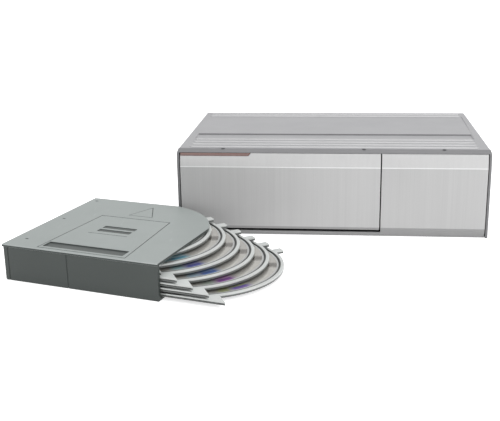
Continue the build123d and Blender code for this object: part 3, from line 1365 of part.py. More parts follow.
with BuildPart() as magazine_lid:
    with BuildSketch(Plane.XY.offset(LID_Z)):
        with BuildLine():
            magazine_outline(0)
        make_face()
    extrude(amount=MAG_WALL)
    # recess along the spine
    with BuildSketch(Plane.XY.offset(MAG_HEIGHT)):
        with Locations(((SLOT_LEFT + SLOT_RIGHT) / 2, 11.8)):
            Rectangle(SLOT_RIGHT - SLOT_LEFT, 10.5)
    extrude(amount=-1.2, mode=Mode.SUBTRACT)
    # outlined field that narrows away from the spine
    with BuildSketch(Plane.XY.offset(MAG_HEIGHT)):
        for inset, mode in ((0, Mode.ADD), (GROOVE, Mode.SUBTRACT)):
            foot = FIELD_FOOT / 2 - inset
            head = FIELD_HEAD / 2 - inset
            with BuildLine():
                Polyline(
                    (FIELD_X - foot, FIELD_FRONT + inset),
                    (FIELD_X + foot, FIELD_FRONT + inset),
                    (FIELD_X + FIELD_LEAN + head, FIELD_BACK - inset),
                    (FIELD_X + FIELD_LEAN - head, FIELD_BACK - inset),
                    close=True,
                )
            make_face(mode=mode)
    extrude(amount=-GROOVE_DEPTH, mode=Mode.SUBTRACT)
save(magazine_lid, "magazine_lid", MAG)

with BuildPart() as tray_detents:
    # strip inside the left wall with a nib for each tray
    with BuildSketch(Plane.XZ.offset(-CENTRE + 5.0)):
        with BuildLine():
            Polyline(
                (MAG_WALL, MAG_WALL + 1.0),
                (MAG_WALL, LID_Z - 1.0),
                (MAG_WALL + 0.4, LID_Z - 1.0),
                (MAG_WALL + 0.4, MAG_WALL + 1.0),
                close=True,
            )
        make_face()
        for i in range(TRAYS):
            with Locations((MAG_WALL + 0.5, MAG_WALL + PITCH * (i + 0.5))):
                Rectangle(0.6, 1.2)
    extrude(amount=-10.0)
save(tray_detents, "tray_detents", MAG)

STRIP_END = CENTRE + 0.75 * TRAY_R      # straight strip along the spine side
STRIP_ANGLE = radians(-52.6)
WELL_R = DISC_R + 0.5
CENTRE_R = 20.0
PICKUP_SLOT = 27.0
LUG_ANGLE = 49.0
LUG_REACH = TRAY_R + 7.0

for n in range(TRAYS):
    level = TRAYS - 1 - n
    pull = FIRST_PULL + n * PULL_STEP
    low = MAG_WALL + level * PITCH + TRAY_REST
    centre_u = CENTRE + pull
    back_u = centre_u + (TRAY_R**2 - (TRAY_BACK - CENTRE) ** 2) ** 0.5
    with BuildPart() as tray:
        with BuildSketch(Plane.XY.offset(low)):
            with BuildLine():
                start = (centre_u + TRAY_R * cos(STRIP_ANGLE), CENTRE + TRAY_R * sin(STRIP_ANGLE))
                Polyline((back_u, TRAY_BACK), (TRAY_LEFT + pull, TRAY_BACK), (TRAY_LEFT + pull, TRAY_FRONT),
                         (STRIP_END + pull, TRAY_FRONT), start)
                ThreePointArc(start, (centre_u + TRAY_R, CENTRE), (back_u, TRAY_BACK))
            make_face()
            # lug that the tray arm hooks
            with Locations((centre_u, CENTRE)):
                with PolarLocations((TRAY_R + LUG_REACH) / 2 - 1.0, 1, start_angle=LUG_ANGLE):
                    Rectangle(LUG_REACH - TRAY_R + 2.0, 6.0)
        extrude(amount=TRAY_THICK)
        # well of the disc, then the opening for turntable and pickup
        with BuildSketch(Plane.XY.offset(low + TRAY_THICK)):
            with Locations((centre_u, CENTRE)):
                Circle(WELL_R)
        extrude(amount=TRAY_FLOOR - TRAY_THICK, mode=Mode.SUBTRACT)
        with BuildSketch(Plane.XY.offset(low)):
            with Locations((centre_u, CENTRE)):
                Circle(CENTRE_R)
            with Locations((centre_u, CENTRE + CENTRE_R)):
                SlotOverall(2 * (DISC_R - 3.0 - CENTRE_R), PICKUP_SLOT, rotation=90)
        extrude(amount=TRAY_THICK, mode=Mode.SUBTRACT)
    save(tray, f"tray_{n + 1}", MAG)
    with BuildPart() as disc:
        with BuildSketch(Plane.XY.offset(low + TRAY_FLOOR)):
            with Locations((centre_u, CENTRE)):
                Circle(DISC_R)
                Circle(DISC_HOLE_R, mode=Mode.SUBTRACT)
        extrude(amount=DISC_THICK)
    save(disc, f"disc_{n + 1}", MAG)
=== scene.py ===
"""Looks of the car CD changer and of the magazine that stands in front of it.

Metres; lengths are written in millimetres and scaled where they are used.
+X to the right seen from the front, +Y to the rear, +Z up, as in the frame.
"""

import json
from math import cos, pi, radians, sin

import bpy
from mathutils import Matrix, Vector


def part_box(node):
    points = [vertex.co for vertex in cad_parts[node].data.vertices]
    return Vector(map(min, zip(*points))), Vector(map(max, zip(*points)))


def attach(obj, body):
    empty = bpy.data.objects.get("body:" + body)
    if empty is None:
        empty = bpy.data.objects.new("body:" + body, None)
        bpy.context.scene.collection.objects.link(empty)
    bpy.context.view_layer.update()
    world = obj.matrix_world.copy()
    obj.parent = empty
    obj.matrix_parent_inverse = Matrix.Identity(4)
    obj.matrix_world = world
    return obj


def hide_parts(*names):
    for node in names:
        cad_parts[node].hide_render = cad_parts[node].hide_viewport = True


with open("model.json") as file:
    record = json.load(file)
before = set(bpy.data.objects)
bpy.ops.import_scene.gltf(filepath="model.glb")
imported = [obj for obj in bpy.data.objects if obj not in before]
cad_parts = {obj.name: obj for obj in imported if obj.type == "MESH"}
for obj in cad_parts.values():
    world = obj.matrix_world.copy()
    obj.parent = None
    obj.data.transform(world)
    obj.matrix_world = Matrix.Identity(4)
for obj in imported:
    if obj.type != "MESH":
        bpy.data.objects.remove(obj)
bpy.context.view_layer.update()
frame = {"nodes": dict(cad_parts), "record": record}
cad = frame["nodes"]
bpy.context.scene.view_settings.view_transform = "Standard"

MM = 0.001

# places of the unit, as in the frame
HALF_WIDTH = 130.0
FRONT = -89.0
REAR = 89.0
TOP = 73.0
CREASE = TOP - 13.4           # where the front face starts to lean back
LINE_UNDER, LINE_OVER = 0.45, 0.35   # reach of the painted highlight line from the crease
ROLL_TOP = 8.0                # under which the front face curls back
BAND_FOOT = 70.9              # over this the bezel is the sloped band
CHEEK_FROM = 127.95           # further out than this it is a side cheek
BEAD_STEP = 10.0
BEAD_HALF = 121.0             # half a bead's length
BEAD_ZONES = ((FRONT + 16.5, FRONT + 46.5), (REAR - 20.5, REAR - 10.5))
TROUGH_BACK = FRONT + 73.0    # rear edge of the trough across the cover
TROUGH_LENGTH = 245.6
LENS_FOOT = 68.4
LENS_HEIGHT = 2.6
BEZEL_SCREWS = (-91.6, 26.7, 92.5)
COVER_SCREWS = [(side, y) for side in (-1, 1) for y in (FRONT + 30.0, FRONT + 148.0)]
COVER_SCREW_Z = 67.0

# places of the magazine, which stands turned on the table
MAG_TURN = radians(16.2)
MAG_CORNER = Vector((-242.0, FRONT - 115.0, 0.0))
MAG_U = Vector((cos(MAG_TURN), -sin(MAG_TURN), 0.0))
MAG_W = Vector((sin(MAG_TURN), cos(MAG_TURN), 0.0))
MAG_LENGTH = 130.0
MAG_WALL = 2.0
LID_TOP = 28.0
DISC_CENTRE = 65.0
DISC_R = 60.0
DISC_THICK = 1.2
FIRST_PULL, PULL_STEP, PITCH = 6.0, 12.0, 4.0
TRAYS = 6
TRAY_THICK = 2.6
TRAY_REST = 0.7               # play under a tray
TRAY_TOP = MAG_WALL + PITCH * (TRAYS - 1) + TRAY_REST + TRAY_THICK
WELL_SHADE_R = 61.7                 # out to this radius the rim is painted dark, as shade where it drops to the disc's well
HUB_EDGE, MIRROR_EDGE = 22.0, 58.6   # the disc's mirror band lies between them
LIP = 1.0                     # depth of the rim's pale upper part; below it the tray is painted dark as shadow


def on_magazine(u, w, z=0.0):
    """Place in the frame, in mm, of a place given along and across the magazine."""
    return MAG_CORNER + MAG_U * u + MAG_W * w + Vector((0.0, 0.0, z))


def fanned(n):
    """Shift in mm of the tray that lies n places under the top one."""
    return MAG_U * (PULL_STEP * n) + Vector((0, 0, -PITCH * n))


# ---------------------------------------------------------------- hand tools
def only(piece):
    """Selects one piece and nothing else."""
    if bpy.context.object and bpy.context.object.mode != "OBJECT":
        leave()
    bpy.ops.object.select_all(action="DESELECT")
    piece.select_set(True)
    bpy.context.view_layer.objects.active = piece


def leave():
    """Leaves edit mode."""
    bpy.ops.object.mode_set(mode="OBJECT")


def settle(piece):
    """Moves a piece's place, turn and size into its mesh."""
    only(piece)
    bpy.ops.object.transform_apply(location=True, rotation=True, scale=True)
    return piece


def cube_at(centre):
    """A cube of 1 m about a place given in mm, to be sized and settled."""
    bpy.ops.object.select_all(action="DESELECT")
    bpy.ops.mesh.primitive_cube_add(size=1.0, location=centre * MM)
    return bpy.context.object


def block(name, low, high):
    """A box between two corners, in mm."""
    low, high = Vector(low), Vector(high)
    piece = cube_at((low + high) / 2)
    piece.name = name
    piece.scale = (high - low) * MM
    return settle(piece)


def rod(name, centre, radius, length, axis, sides):
    """A round bar about its centre, in mm, along X or Z."""
    bpy.ops.object.select_all(action="DESELECT")
    turn = {"X": (0, pi / 2, 0), "Z": (0, 0, 0)}[axis]
    bpy.ops.mesh.primitive_cylinder_add(vertices=sides, radius=radius * MM, depth=length * MM,
                                        location=Vector(centre) * MM, rotation=turn)
    piece = bpy.context.object
    piece.name = name
    return settle(piece)


def copy_of(node, name):
    """A copy of a CAD node with its triangles merged into whole faces, ready to be shaped."""
    piece = bpy.data.objects.new(name, cad[node].data.copy())
    bpy.context.scene.collection.objects.link(piece)
    piece.data.materials.clear()
    only(piece)
    bpy.ops.mesh.customdata_custom_splitnormals_clear()
    bpy.ops.object.mode_set(mode="EDIT")
    bpy.ops.mesh.select_all(action="SELECT")
    bpy.ops.mesh.remove_doubles(threshold=0.002 * MM)
    bpy.ops.mesh.dissolve_limited(angle_limit=radians(0.5))
    leave()
    return piece


def copied(piece, name, shift):
    """A copy with its own mesh, moved by a shift in mm."""
    twin = piece.copy()
    twin.data = piece.data.copy()
    twin.name = name
    bpy.context.scene.collection.objects.link(twin)
    twin.data.transform(Matrix.Translation(Vector(shift) * MM))
    return twin


def select_none(piece, kind):
    """Clears the selection of a piece's faces or edges."""
    only(piece)
    bpy.ops.object.mode_set(mode="EDIT")
    bpy.ops.mesh.select_mode(type=kind)
    bpy.ops.mesh.select_all(action="DESELECT")
    leave()


def pick_faces(piece, test):
    """Enters edit mode with the faces selected whose centre, in mm, and normal pass the test."""
    select_none(piece, "FACE")
    for face in piece.data.polygons:
        face.select = bool(test(face.center / MM, face.normal))
    bpy.ops.object.mode_set(mode="EDIT")


def pick_edges(piece, test):
    """Enters edit mode with the edges selected whose two ends, in mm, pass the test."""
    select_none(piece, "EDGE")
    points = piece.data.vertices
    for edge in piece.data.edges:
        ends = [points[i].co / MM for i in edge.vertices]
        edge.select = bool(test(*ends))
    bpy.ops.object.mode_set(mode="EDIT")


def cut_level(piece, height):
    """Cuts all faces of a piece at a height in mm."""
    only(piece)
    bpy.ops.object.mode_set(mode="EDIT")
    bpy.ops.mesh.select_all(action="SELECT")
    bpy.ops.mesh.bisect(plane_co=(0, 0, height * MM), plane_no=(0, 0, 1))
    leave()


def apply_all(piece):
    """Applies a piece's modifiers."""
    only(piece)
    for modifier in list(piece.modifiers):
        bpy.ops.object.modifier_apply(modifier=modifier.name)


def soften(piece, width, segments=2, angle=30.0, smooth=40.0):
    """Rounds every edge sharper than the angle and smooths what lies between."""
    bevel = piece.modifiers.new("rounded_edges", "BEVEL")
    bevel.width = width * MM
    bevel.segments = segments
    bevel.limit_method = "ANGLE"
    bevel.angle_limit = radians(angle)
    bevel.use_clamp_overlap = False
    bevel.miter_outer = "MITER_ARC"
    apply_all(piece)
    bpy.ops.object.shade_smooth_by_angle(angle=radians(smooth))
    flat = piece.modifiers.new("flat_faces", "WEIGHTED_NORMAL")
    flat.weight = 80
    flat.keep_sharp = True
    apply_all(piece)
    return piece


def carve(piece, tools):
    """Cuts the tools out of a piece and removes them."""
    for tool in tools:
        boolean = piece.modifiers.new("carved", "BOOLEAN")
        boolean.operation = "DIFFERENCE"
        boolean.solver = "EXACT"
        boolean.object = tool
        apply_all(piece)
        bpy.data.objects.remove(tool)
    return piece


def join(name, pieces):
    """Makes one object of several."""
    only(pieces[0])
    for piece in pieces:
        piece.select_set(True)
    bpy.ops.object.join()
    pieces[0].name = name
    return pieces[0]


def finish_piece(piece, material, body, node):
    """Gives a piece its finish and its body, and hides the CAD node that it stands for."""
    piece.data.materials.clear()
    piece.data.materials.append(material)
    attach(piece, body)
    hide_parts(node)


def paint_faces(piece, others, choose):
    """Adds finishes; choose gives a face's number, 0 the first finish, from its centre in mm and normal."""
    for material in others:
        piece.data.materials.append(material)
    for face in piece.data.polygons:
        face.material_index = choose(face.center / MM, face.normal)


# ---------------------------------------------------------------- shader building
def math_node(tree, operation, *values, clamp=False):
    """A sum, product or other measure of up to three values or sockets."""
    node = tree.nodes.new("ShaderNodeMath")
    node.operation = operation
    node.use_clamp = clamp
    for i, value in enumerate(values):
        if isinstance(value, (int, float)):
            node.inputs[i].default_value = value
        else:
            tree.links.new(value, node.inputs[i])
    return node.outputs[0]


def plus(tree, a, b):
    return math_node(tree, "ADD", a, b)


def minus(tree, a, b, clamp=False):
    return math_node(tree, "SUBTRACT", a, b, clamp=clamp)


def times(tree, a, b, clamp=False):
    return math_node(tree, "MULTIPLY", a, b, clamp=clamp)


def larger(tree, a, b):
    return math_node(tree, "MAXIMUM", a, b)


def off(tree, value, middle):
    """How far a value is off a middle, either way."""
    return math_node(tree, "ABSOLUTE", minus(tree, value, middle))


def ranged(tree, value, low, high):
    """Maps 0..1 to low..high."""
    return math_node(tree, "MULTIPLY_ADD", value, high - low, low)


def above(tree, value, edge):
    """1 where a value in mm is above an edge, 0 below, over a quarter of a millimetre."""
    return times(tree, minus(tree, value, edge), 4.0, clamp=True)


def under(tree, value, edge):
    """1 where a value in mm is under an edge, 0 above, over a quarter of a millimetre."""
    return times(tree, minus(tree, edge, value), 4.0, clamp=True)


def split(tree, vector):
    """The X, Y and Z of a vector."""
    node = tree.nodes.new("ShaderNodeSeparateXYZ")
    tree.links.new(vector, node.inputs[0])
    return node.outputs


def noise_node(tree, vector, scale, detail=3.0, roughness=0.5):
    """Cloudy noise, 0 to 1."""
    node = tree.nodes.new("ShaderNodeTexNoise")
    node.inputs["Scale"].default_value = scale
    node.inputs["Detail"].default_value = detail
    node.inputs["Roughness"].default_value = roughness
    tree.links.new(vector, node.inputs["Vector"])
    return node.outputs["Fac"]


def stretched(tree, vector, scale, location=(0, 0, 0), rotation=(0, 0, 0)):
    """A vector turned, scaled and moved."""
    node = tree.nodes.new("ShaderNodeMapping")
    node.inputs["Location"].default_value = location
    node.inputs["Rotation"].default_value = rotation
    node.inputs["Scale"].default_value = scale
    tree.links.new(vector, node.inputs["Vector"])
    return node.outputs["Vector"]


def mixed(tree, factor, a, b):
    """Colour a at 0 and b at 1, each a socket or three numbers."""
    node = tree.nodes.new("ShaderNodeMix")
    node.data_type = "RGBA"
    node.clamp_factor = True
    tree.links.new(factor, node.inputs[0])
    for socket, value in ((node.inputs[6], a), (node.inputs[7], b)):
        if isinstance(value, tuple):
            socket.default_value = (*value, 1.0)
        else:
            tree.links.new(value, socket)
    return node.outputs[2]


def bump(tree, shader, height, strength, distance):
    """Raises a surface by a height, the distance in mm."""
    node = tree.nodes.new("ShaderNodeBump")
    node.inputs["Strength"].default_value = strength
    node.inputs["Distance"].default_value = distance * MM
    tree.links.new(height, node.inputs["Height"])
    tree.links.new(node.outputs["Normal"], shader.inputs["Normal"])


def new_material(name):
    """A material with its Principled BSDF and Object coordinates."""
    made = bpy.data.materials.new(name)
    made.use_nodes = True
    tree = made.node_tree
    shader = tree.nodes["Principled BSDF"]
    coordinates = tree.nodes.new("ShaderNodeTexCoord")
    return made, tree, shader, coordinates.outputs["Object"]


# ---------------------------------------------------------------- shared surface effects
def new_group(name, label, value, outputs):
    """A shader node group with a Vector, one named float input and named float outputs."""
    group = bpy.data.node_groups.new(name, "ShaderNodeTree")
    group.interface.new_socket("Vector", in_out="INPUT", socket_type="NodeSocketVector")
    group.interface.new_socket(label, in_out="INPUT", socket_type="NodeSocketFloat").default_value = value
    for output in outputs:
        group.interface.new_socket(output, in_out="OUTPUT", socket_type="NodeSocketFloat")
    return group, group.nodes.new("NodeGroupInput").outputs, group.nodes.new("NodeGroupOutput").inputs


def place_group(tree, group, vector, **values):
    """Puts a node group into a material and gives its outputs."""
    node = tree.nodes.new("ShaderNodeGroup")
    node.node_tree = group
    tree.links.new(vector, node.inputs["Vector"])
    for label, value in values.items():
        node.inputs[label].default_value = value
    return node.outputs


def brushing_group():
    """Fine parallel brush lines along Z of the vector given, with wider faint bands."""
    group, given, made = new_group("brush_lines", "Strength", 0.5, ("Shade", "Height"))
    vector = given["Vector"]
    fine = noise_node(group, stretched(group, vector, (2600, 2600, 14)), 1.0, 2.0)
    wide = noise_node(group, stretched(group, vector, (420, 420, 5), (3, 1, 0)), 1.0, 2.0)
    slow = noise_node(group, stretched(group, vector, (60, 60, 2), (9, 4, 0)), 1.0, 1.0)
    lines = plus(group, times(group, fine, 0.45), times(group, wide, 0.35))
    lines = plus(group, lines, times(group, slow, 0.20))
    shade = math_node(group, "MULTIPLY_ADD", minus(group, lines, 0.5), given["Strength"], 0.5)
    group.links.new(shade, made["Shade"])
    group.links.new(fine, made["Height"])
    return group


def grain_group():
    """Moulded or sprayed grain: a fine pebble height, a slow uneven shade and rubbed places."""
    group, given, made = new_group("surface_grain", "Size", 2200.0, ("Height", "Shade", "Scuffs"))
    vector = given["Vector"]
    pebble = group.nodes.new("ShaderNodeTexNoise")
    pebble.inputs["Detail"].default_value = 2.0
    group.links.new(vector, pebble.inputs["Vector"])
    group.links.new(given["Size"], pebble.inputs["Scale"])
    slow = noise_node(group, vector, 35.0)
    rubbed = noise_node(group, stretched(group, vector, (240, 60, 160)), 1.0, 5.0, 0.65)
    scuffs = times(group, minus(group, rubbed, 0.60), 5.0, clamp=True)
    group.links.new(pebble.outputs["Fac"], made["Height"])
    group.links.new(slow, made["Shade"])
    group.links.new(scuffs, made["Scuffs"])
    return group


BRUSHING = brushing_group()
GRAIN = grain_group()


def brushed_metal(name, dark, light, rough, metallic, strength=1.0, axis="Z"):
    """Metal with brush lines along Z or X."""
    made, tree, shader, place = new_material(name)
    turn = {"Z": (0, 0, 0), "X": (0, pi / 2, 0)}[axis]
    lines = place_group(tree, BRUSHING, stretched(tree, place, (1, 1, 1), rotation=turn), Strength=strength)
    grain = place_group(tree, GRAIN, place, Size=900.0)
    tree.links.new(mixed(tree, lines["Shade"], dark, light), shader.inputs["Base Color"])
    roughness = ranged(tree, lines["Shade"], rough + 0.05, rough - 0.05)
    roughness = math_node(tree, "MULTIPLY_ADD", grain["Shade"], 0.08, roughness)
    tree.links.new(roughness, shader.inputs["Roughness"])
    shader.inputs["Metallic"].default_value = metallic
    bump(tree, shader, lines["Height"], 0.12, 0.02)
    return made


def sprayed_metal(name, dark, light, rough, metallic, grain_size=3000.0, relief=0.10):
    """Silver paint or zinc: metallic flake grain and slow uneven shade."""
    made, tree, shader, place = new_material(name)
    grain = place_group(tree, GRAIN, place, Size=grain_size)
    colour = mixed(tree, grain["Shade"], dark, light)
    scuffed = mixed(tree, times(tree, grain["Scuffs"], 0.25), colour, light)
    tree.links.new(scuffed, shader.inputs["Base Color"])
    tree.links.new(ranged(tree, grain["Height"], rough - 0.06, rough + 0.06), shader.inputs["Roughness"])
    shader.inputs["Metallic"].default_value = metallic
    bump(tree, shader, grain["Height"], relief, 0.03)
    return made


def moulded(name, dark, light, rough, grain_size=1500.0, relief=0.25, coat=0.0):
    """Moulded plastic: pebble grain, rubbed places a little smoother and lighter."""
    made, tree, shader, place = new_material(name)
    grain = place_group(tree, GRAIN, place, Size=grain_size)
    colour = mixed(tree, grain["Shade"], dark, light)
    worn = tuple(min(1.0, c * 1.25) for c in light)
    tree.links.new(mixed(tree, times(tree, grain["Scuffs"], 0.20), colour, worn), shader.inputs["Base Color"])
    pebbled = ranged(tree, grain["Height"], rough - 0.04, rough + 0.04)
    roughness = math_node(tree, "MULTIPLY_ADD", grain["Scuffs"], -0.10, pebbled)
    tree.links.new(roughness, shader.inputs["Roughness"])
    shader.inputs["Coat Weight"].default_value = coat
    bump(tree, shader, grain["Height"], relief, 0.05)
    return made


def bead_foot_shade(tree, along, first, last):
    """Mask of painted shade lines at both feet of every bead between two crests, from a place along the cover
    in mm.
    """
    foot_from_crest, reach = 3.3, 4.2
    middle, half = (first + last) / 2, (last - first) / 2
    inside = under(tree, off(tree, along, middle), half + reach)
    from_crest = math_node(tree, "PINGPONG", minus(tree, along, first), BEAD_STEP / 2)
    foot = minus(tree, 1.0, off(tree, from_crest, foot_from_crest), clamp=True)
    return times(tree, foot, inside)


def cover_paint():
    """Silver paint, darker along the foot of every bead with painted shade."""
    made = sprayed_metal("cover_silver_paint_painted_shade", grey(0.315, 0.008), grey(0.370, 0.008), 0.56, 0.35)
    tree = made.node_tree
    colour = tree.nodes["Principled BSDF"].inputs["Base Color"]
    paint = colour.links[0].from_socket
    place = split(tree, tree.nodes["Texture Coordinate"].outputs["Object"])
    across = times(tree, place["X"], 1 / MM)
    along = times(tree, place["Y"], 1 / MM)
    # painted shade: the paint darkens towards a dark grey along the bead feet, fading at the beads' ends
    feet = larger(tree, *[bead_foot_shade(tree, along, first, last) for first, last in BEAD_ZONES])
    between_ends = times(tree, minus(tree, BEAD_HALF, off(tree, across, 0.0)), 0.5, clamp=True)
    shade = times(tree, times(tree, feet, between_ends), 0.62)
    tree.links.new(mixed(tree, shade, paint, (0.14, 0.14, 0.145)), colour)
    return made


def smoked_lens():
    """Deep red-brown clear plastic over a dark seat, darker towards its foot."""
    made, tree, shader, place = new_material("smoked_red_lens")
    over_foot = minus(tree, split(tree, place)["Z"], LENS_FOOT * MM)
    height = times(tree, over_foot, 1 / (LENS_HEIGHT * MM), clamp=True)
    grain = place_group(tree, GRAIN, place, Size=400.0)
    body = mixed(tree, height, (0.085, 0.030, 0.022), (0.165, 0.066, 0.050))
    tree.links.new(mixed(tree, grain["Scuffs"], body, (0.20, 0.09, 0.07)), shader.inputs["Base Color"])
    tree.links.new(ranged(tree, grain["Shade"], 0.10, 0.18), shader.inputs["Roughness"])
    shader.inputs["Coat Weight"].default_value = 0.5
    shader.inputs["Coat Roughness"].default_value = 0.05
    return made


def about(tree, place, centre):
    """X and Y in metres from an upright axis through a centre, and the distance from it in mm."""
    x, y = split(tree, stretched(tree, place, (1, 1, 1), location=-centre * MM))[:2]
    squares = plus(tree, times(tree, x, x), times(tree, y, y))
    return x, y, times(tree, math_node(tree, "SQRT", squares), 1 / MM)


def pale_tray(name, centre):
    """Milky plastic, with painted shade where the rim drops to the disc's well and painted shadow under its
    lip; centre on its top.
    """
    made, tree, shader, place = new_material(name)
    radius = about(tree, place, centre)[2]
    grain = place_group(tree, GRAIN, place, Size=3000.0)
    pale = mixed(tree, grain["Shade"], (0.53, 0.55, 0.535), (0.62, 0.64, 0.625))
    rubbed = mixed(tree, times(tree, grain["Scuffs"], 0.3), pale, (0.66, 0.68, 0.66))
    below = minus(tree, (centre.z - LIP) * MM, split(tree, place)["Z"])
    under_lip_shadow = times(tree, below, 5.0 / MM, clamp=True)
    # painted shade: near-black within WELL_SHADE_R and, a little lighter, under the lip
    dark = larger(tree, under(tree, radius, WELL_SHADE_R), times(tree, under_lip_shadow, 0.85))
    tree.links.new(mixed(tree, dark, rubbed, (0.040, 0.044, 0.042)), shader.inputs["Base Color"])
    tree.links.new(ranged(tree, grain["Height"], 0.28, 0.36), shader.inputs["Roughness"])
    shader.inputs["Subsurface Weight"].default_value = 0.12
    shader.inputs["Subsurface Radius"].default_value = (0.002, 0.002, 0.002)
    shader.inputs["Subsurface Scale"].default_value = 0.5
    bump(tree, shader, grain["Height"], 0.04, 0.05)
    return made


def fan(tree, angle, turn, width):
    """1 along a radius at a turn in degrees, falling to 0 at its sides."""
    offset = minus(tree, angle, radians(turn))
    around = math_node(tree, "ARCTAN2", math_node(tree, "SINE", offset), math_node(tree, "COSINE", offset))
    share = math_node(tree, "DIVIDE", math_node(tree, "ABSOLUTE", around), radians(width))
    return minus(tree, 1.0, share, clamp=True)


def disc_silver(name, centre, look, first_streak):
    """Pressed disc: mirror band with painted coloured streaks of fine-track diffraction, a painted glint and
    painted dark reflections, clear hub and rim.
    """
    made, tree, shader, place = new_material(name)
    x, y, radius = about(tree, place, centre)
    angle = math_node(tree, "ARCTAN2", y, x)
    mid, pale, deep, glint = look

    # painted light: coloured diffraction streaks fixed on the disc
    streak = fan(tree, angle, first_streak, 11.0)
    for turn, width in ((124.0, 12.0), (40.0, 7.0), (-150.0, 7.0)):
        streak = larger(tree, streak, fan(tree, angle, turn, width))
    streak = times(tree, streak, 1.8, clamp=True)
    # painted highlight: a pale glint beside the first streak
    sheen = times(tree, fan(tree, angle, first_streak - 13.0, 7.0), 1.5, clamp=True)
    # painted reflection: two dark wedges for the tray above seen in the mirror band
    dark_reflection_wedge = larger(tree, fan(tree, angle, 3.0, 7.0), fan(tree, angle, 183.0, 7.0))
    dark_reflection_wedge = times(tree, dark_reflection_wedge, 1.6, clamp=True)

    stops = [(0.0, mid), (0.40, pale), (0.55, mid), (0.70, deep),
             (0.82, mid), (0.88, pale), (0.91, deep), (0.97, mid)]
    ramp = tree.nodes.new("ShaderNodeValToRGB")
    elements = ramp.color_ramp.elements
    elements.remove(elements[0])
    for i, (stop, colour) in enumerate(stops):
        element = elements[0] if i == 0 else elements.new(stop)
        element.position = stop
        element.color = (*colour, 1.0)
    outwards = math_node(tree, "DIVIDE", radius, DISC_R)
    tree.links.new(outwards, ramp.inputs["Fac"])

    silver = mixed(tree, outwards, (0.56, 0.55, 0.53), (0.70, 0.68, 0.63))
    with_dark_reflection = mixed(tree, times(tree, dark_reflection_wedge, 0.75), silver, (0.115, 0.100, 0.088))
    glinting = mixed(tree, times(tree, sheen, 0.85), with_dark_reflection, glint)
    tinted = mixed(tree, times(tree, streak, 0.92), glinting, ramp.outputs["Color"])
    band = times(tree, above(tree, radius, HUB_EDGE), under(tree, radius, MIRROR_EDGE))
    tree.links.new(mixed(tree, band, (0.42, 0.43, 0.42), tinted), shader.inputs["Base Color"])
    mirror = math_node(tree, "MULTIPLY_ADD", streak, -0.35, 0.58)
    tree.links.new(times(tree, band, mirror), shader.inputs["Metallic"])
    grain = place_group(tree, GRAIN, place, Size=300.0)
    tree.links.new(ranged(tree, grain["Shade"], 0.12, 0.20), shader.inputs["Roughness"])
    shader.inputs["Coat Weight"].default_value = 0.6
    shader.inputs["Coat Roughness"].default_value = 0.03
    return made


# ---------------------------------------------------------------- finishes
def grey(shade, blue=0.0):
    """A neutral colour, or one a little bluer or yellower."""
    return shade, shade, shade + blue


FACE_METAL = brushed_metal("face_brushed_aluminium", grey(0.425), (0.525, 0.525, 0.52), 0.52, 0.10, 1.1)
# a polished line along the crease; its lighter colour is a painted highlight
FACE_CREASE_HIGHLIGHT = brushed_metal("face_polished_crease_painted_highlight", grey(0.66), grey(0.77), 0.38, 0.20, 0.8)
# painted light: a lighter copy of the face metal on the bevel that leans back over the crease
FACE_BEVEL_LIT = brushed_metal("face_leaning_bevel_painted_light", grey(0.48), (0.58, 0.58, 0.575), 0.50, 0.14, 1.1)
# painted shade: a darker copy of the face metal on the curled lower edge
FACE_CURL_SHADE = brushed_metal("face_curled_edge_painted_shade", grey(0.27), grey(0.32), 0.50, 0.18)
COVER_PAINT = cover_paint()
# painted highlight: a lighter copy of the cover paint on the bead crests
COVER_CREST_HIGHLIGHT = sprayed_metal("bead_crest_painted_highlight", grey(0.37, 0.005), grey(0.43, 0.005), 0.48, 0.35)
# painted shade: a dark copy of the cover paint on the trough's sloped rear edge
COVER_SHADE = sprayed_metal("trough_edge_shade", grey(0.13, 0.005), grey(0.16, 0.005), 0.5, 0.3)
# painted shade: silver paint far darker than the cover's, for the shade on the sloped band; the cheeks get it
# too
BAND_SHADED_PAINT = sprayed_metal("band_silver_paint_painted_shade", grey(0.160, 0.005), grey(0.190, 0.005), 0.52, 0.35)
ZINC = sprayed_metal("zinc_plated_steel", (0.38, 0.385, 0.39), grey(0.50), 0.38, 0.85, 700.0, 0.06)
BLACKENED = sprayed_metal("blackened_inner_sheet", grey(0.022, 0.001), grey(0.034, 0.001), 0.46, 0.45)
SCREW_BLACK = sprayed_metal("blackened_screw_steel", grey(0.030, 0.003), grey(0.055, 0.003), 0.34, 0.75)
STEEL = brushed_metal("spring_steel_satin", grey(0.30, 0.01), grey(0.48, 0.01), 0.30, 0.95, axis="X")
BRASS = brushed_metal("turned_brass", (0.52, 0.36, 0.12), (0.70, 0.50, 0.20), 0.28, 0.95, axis="X")
DARK_PLASTIC = moulded("black_moulded_plastic", grey(0.012, 0.001), grey(0.022, 0.002), 0.48)
# painted shadow: near-black for the bezel's inner faces, seen only in shade through the gaps around the door
INNER_DARK = moulded("shadowed_inner_plastic", grey(0.006, 0.0005), grey(0.011, 0.001), 0.62)
WHITE_PLASTIC = moulded("white_nylon", grey(0.62, -0.02), grey(0.74, -0.02), 0.42, 3000.0, 0.08)
BOARD_GREEN = moulded("solder_mask_green", (0.012, 0.060, 0.026), (0.018, 0.085, 0.038),
                      0.30, 5000.0, 0.03, coat=0.3)
FINE = 2600.0                 # grain of the magazine's plastic
LID_PLASTIC = moulded("grey_green_lid_plastic", (0.275, 0.303, 0.293), (0.320, 0.348, 0.338),
                      0.52, FINE, 0.10)
# slate plastic whose darkness beside the lid is mostly painted shade on upright faces: the spine, the case
# and the lid's edges
SPINE_SHADED_PLASTIC = moulded("slate_spine_plastic_painted_shade", (0.032, 0.040, 0.037), (0.043, 0.052, 0.048),
                        0.50, FINE, 0.10)
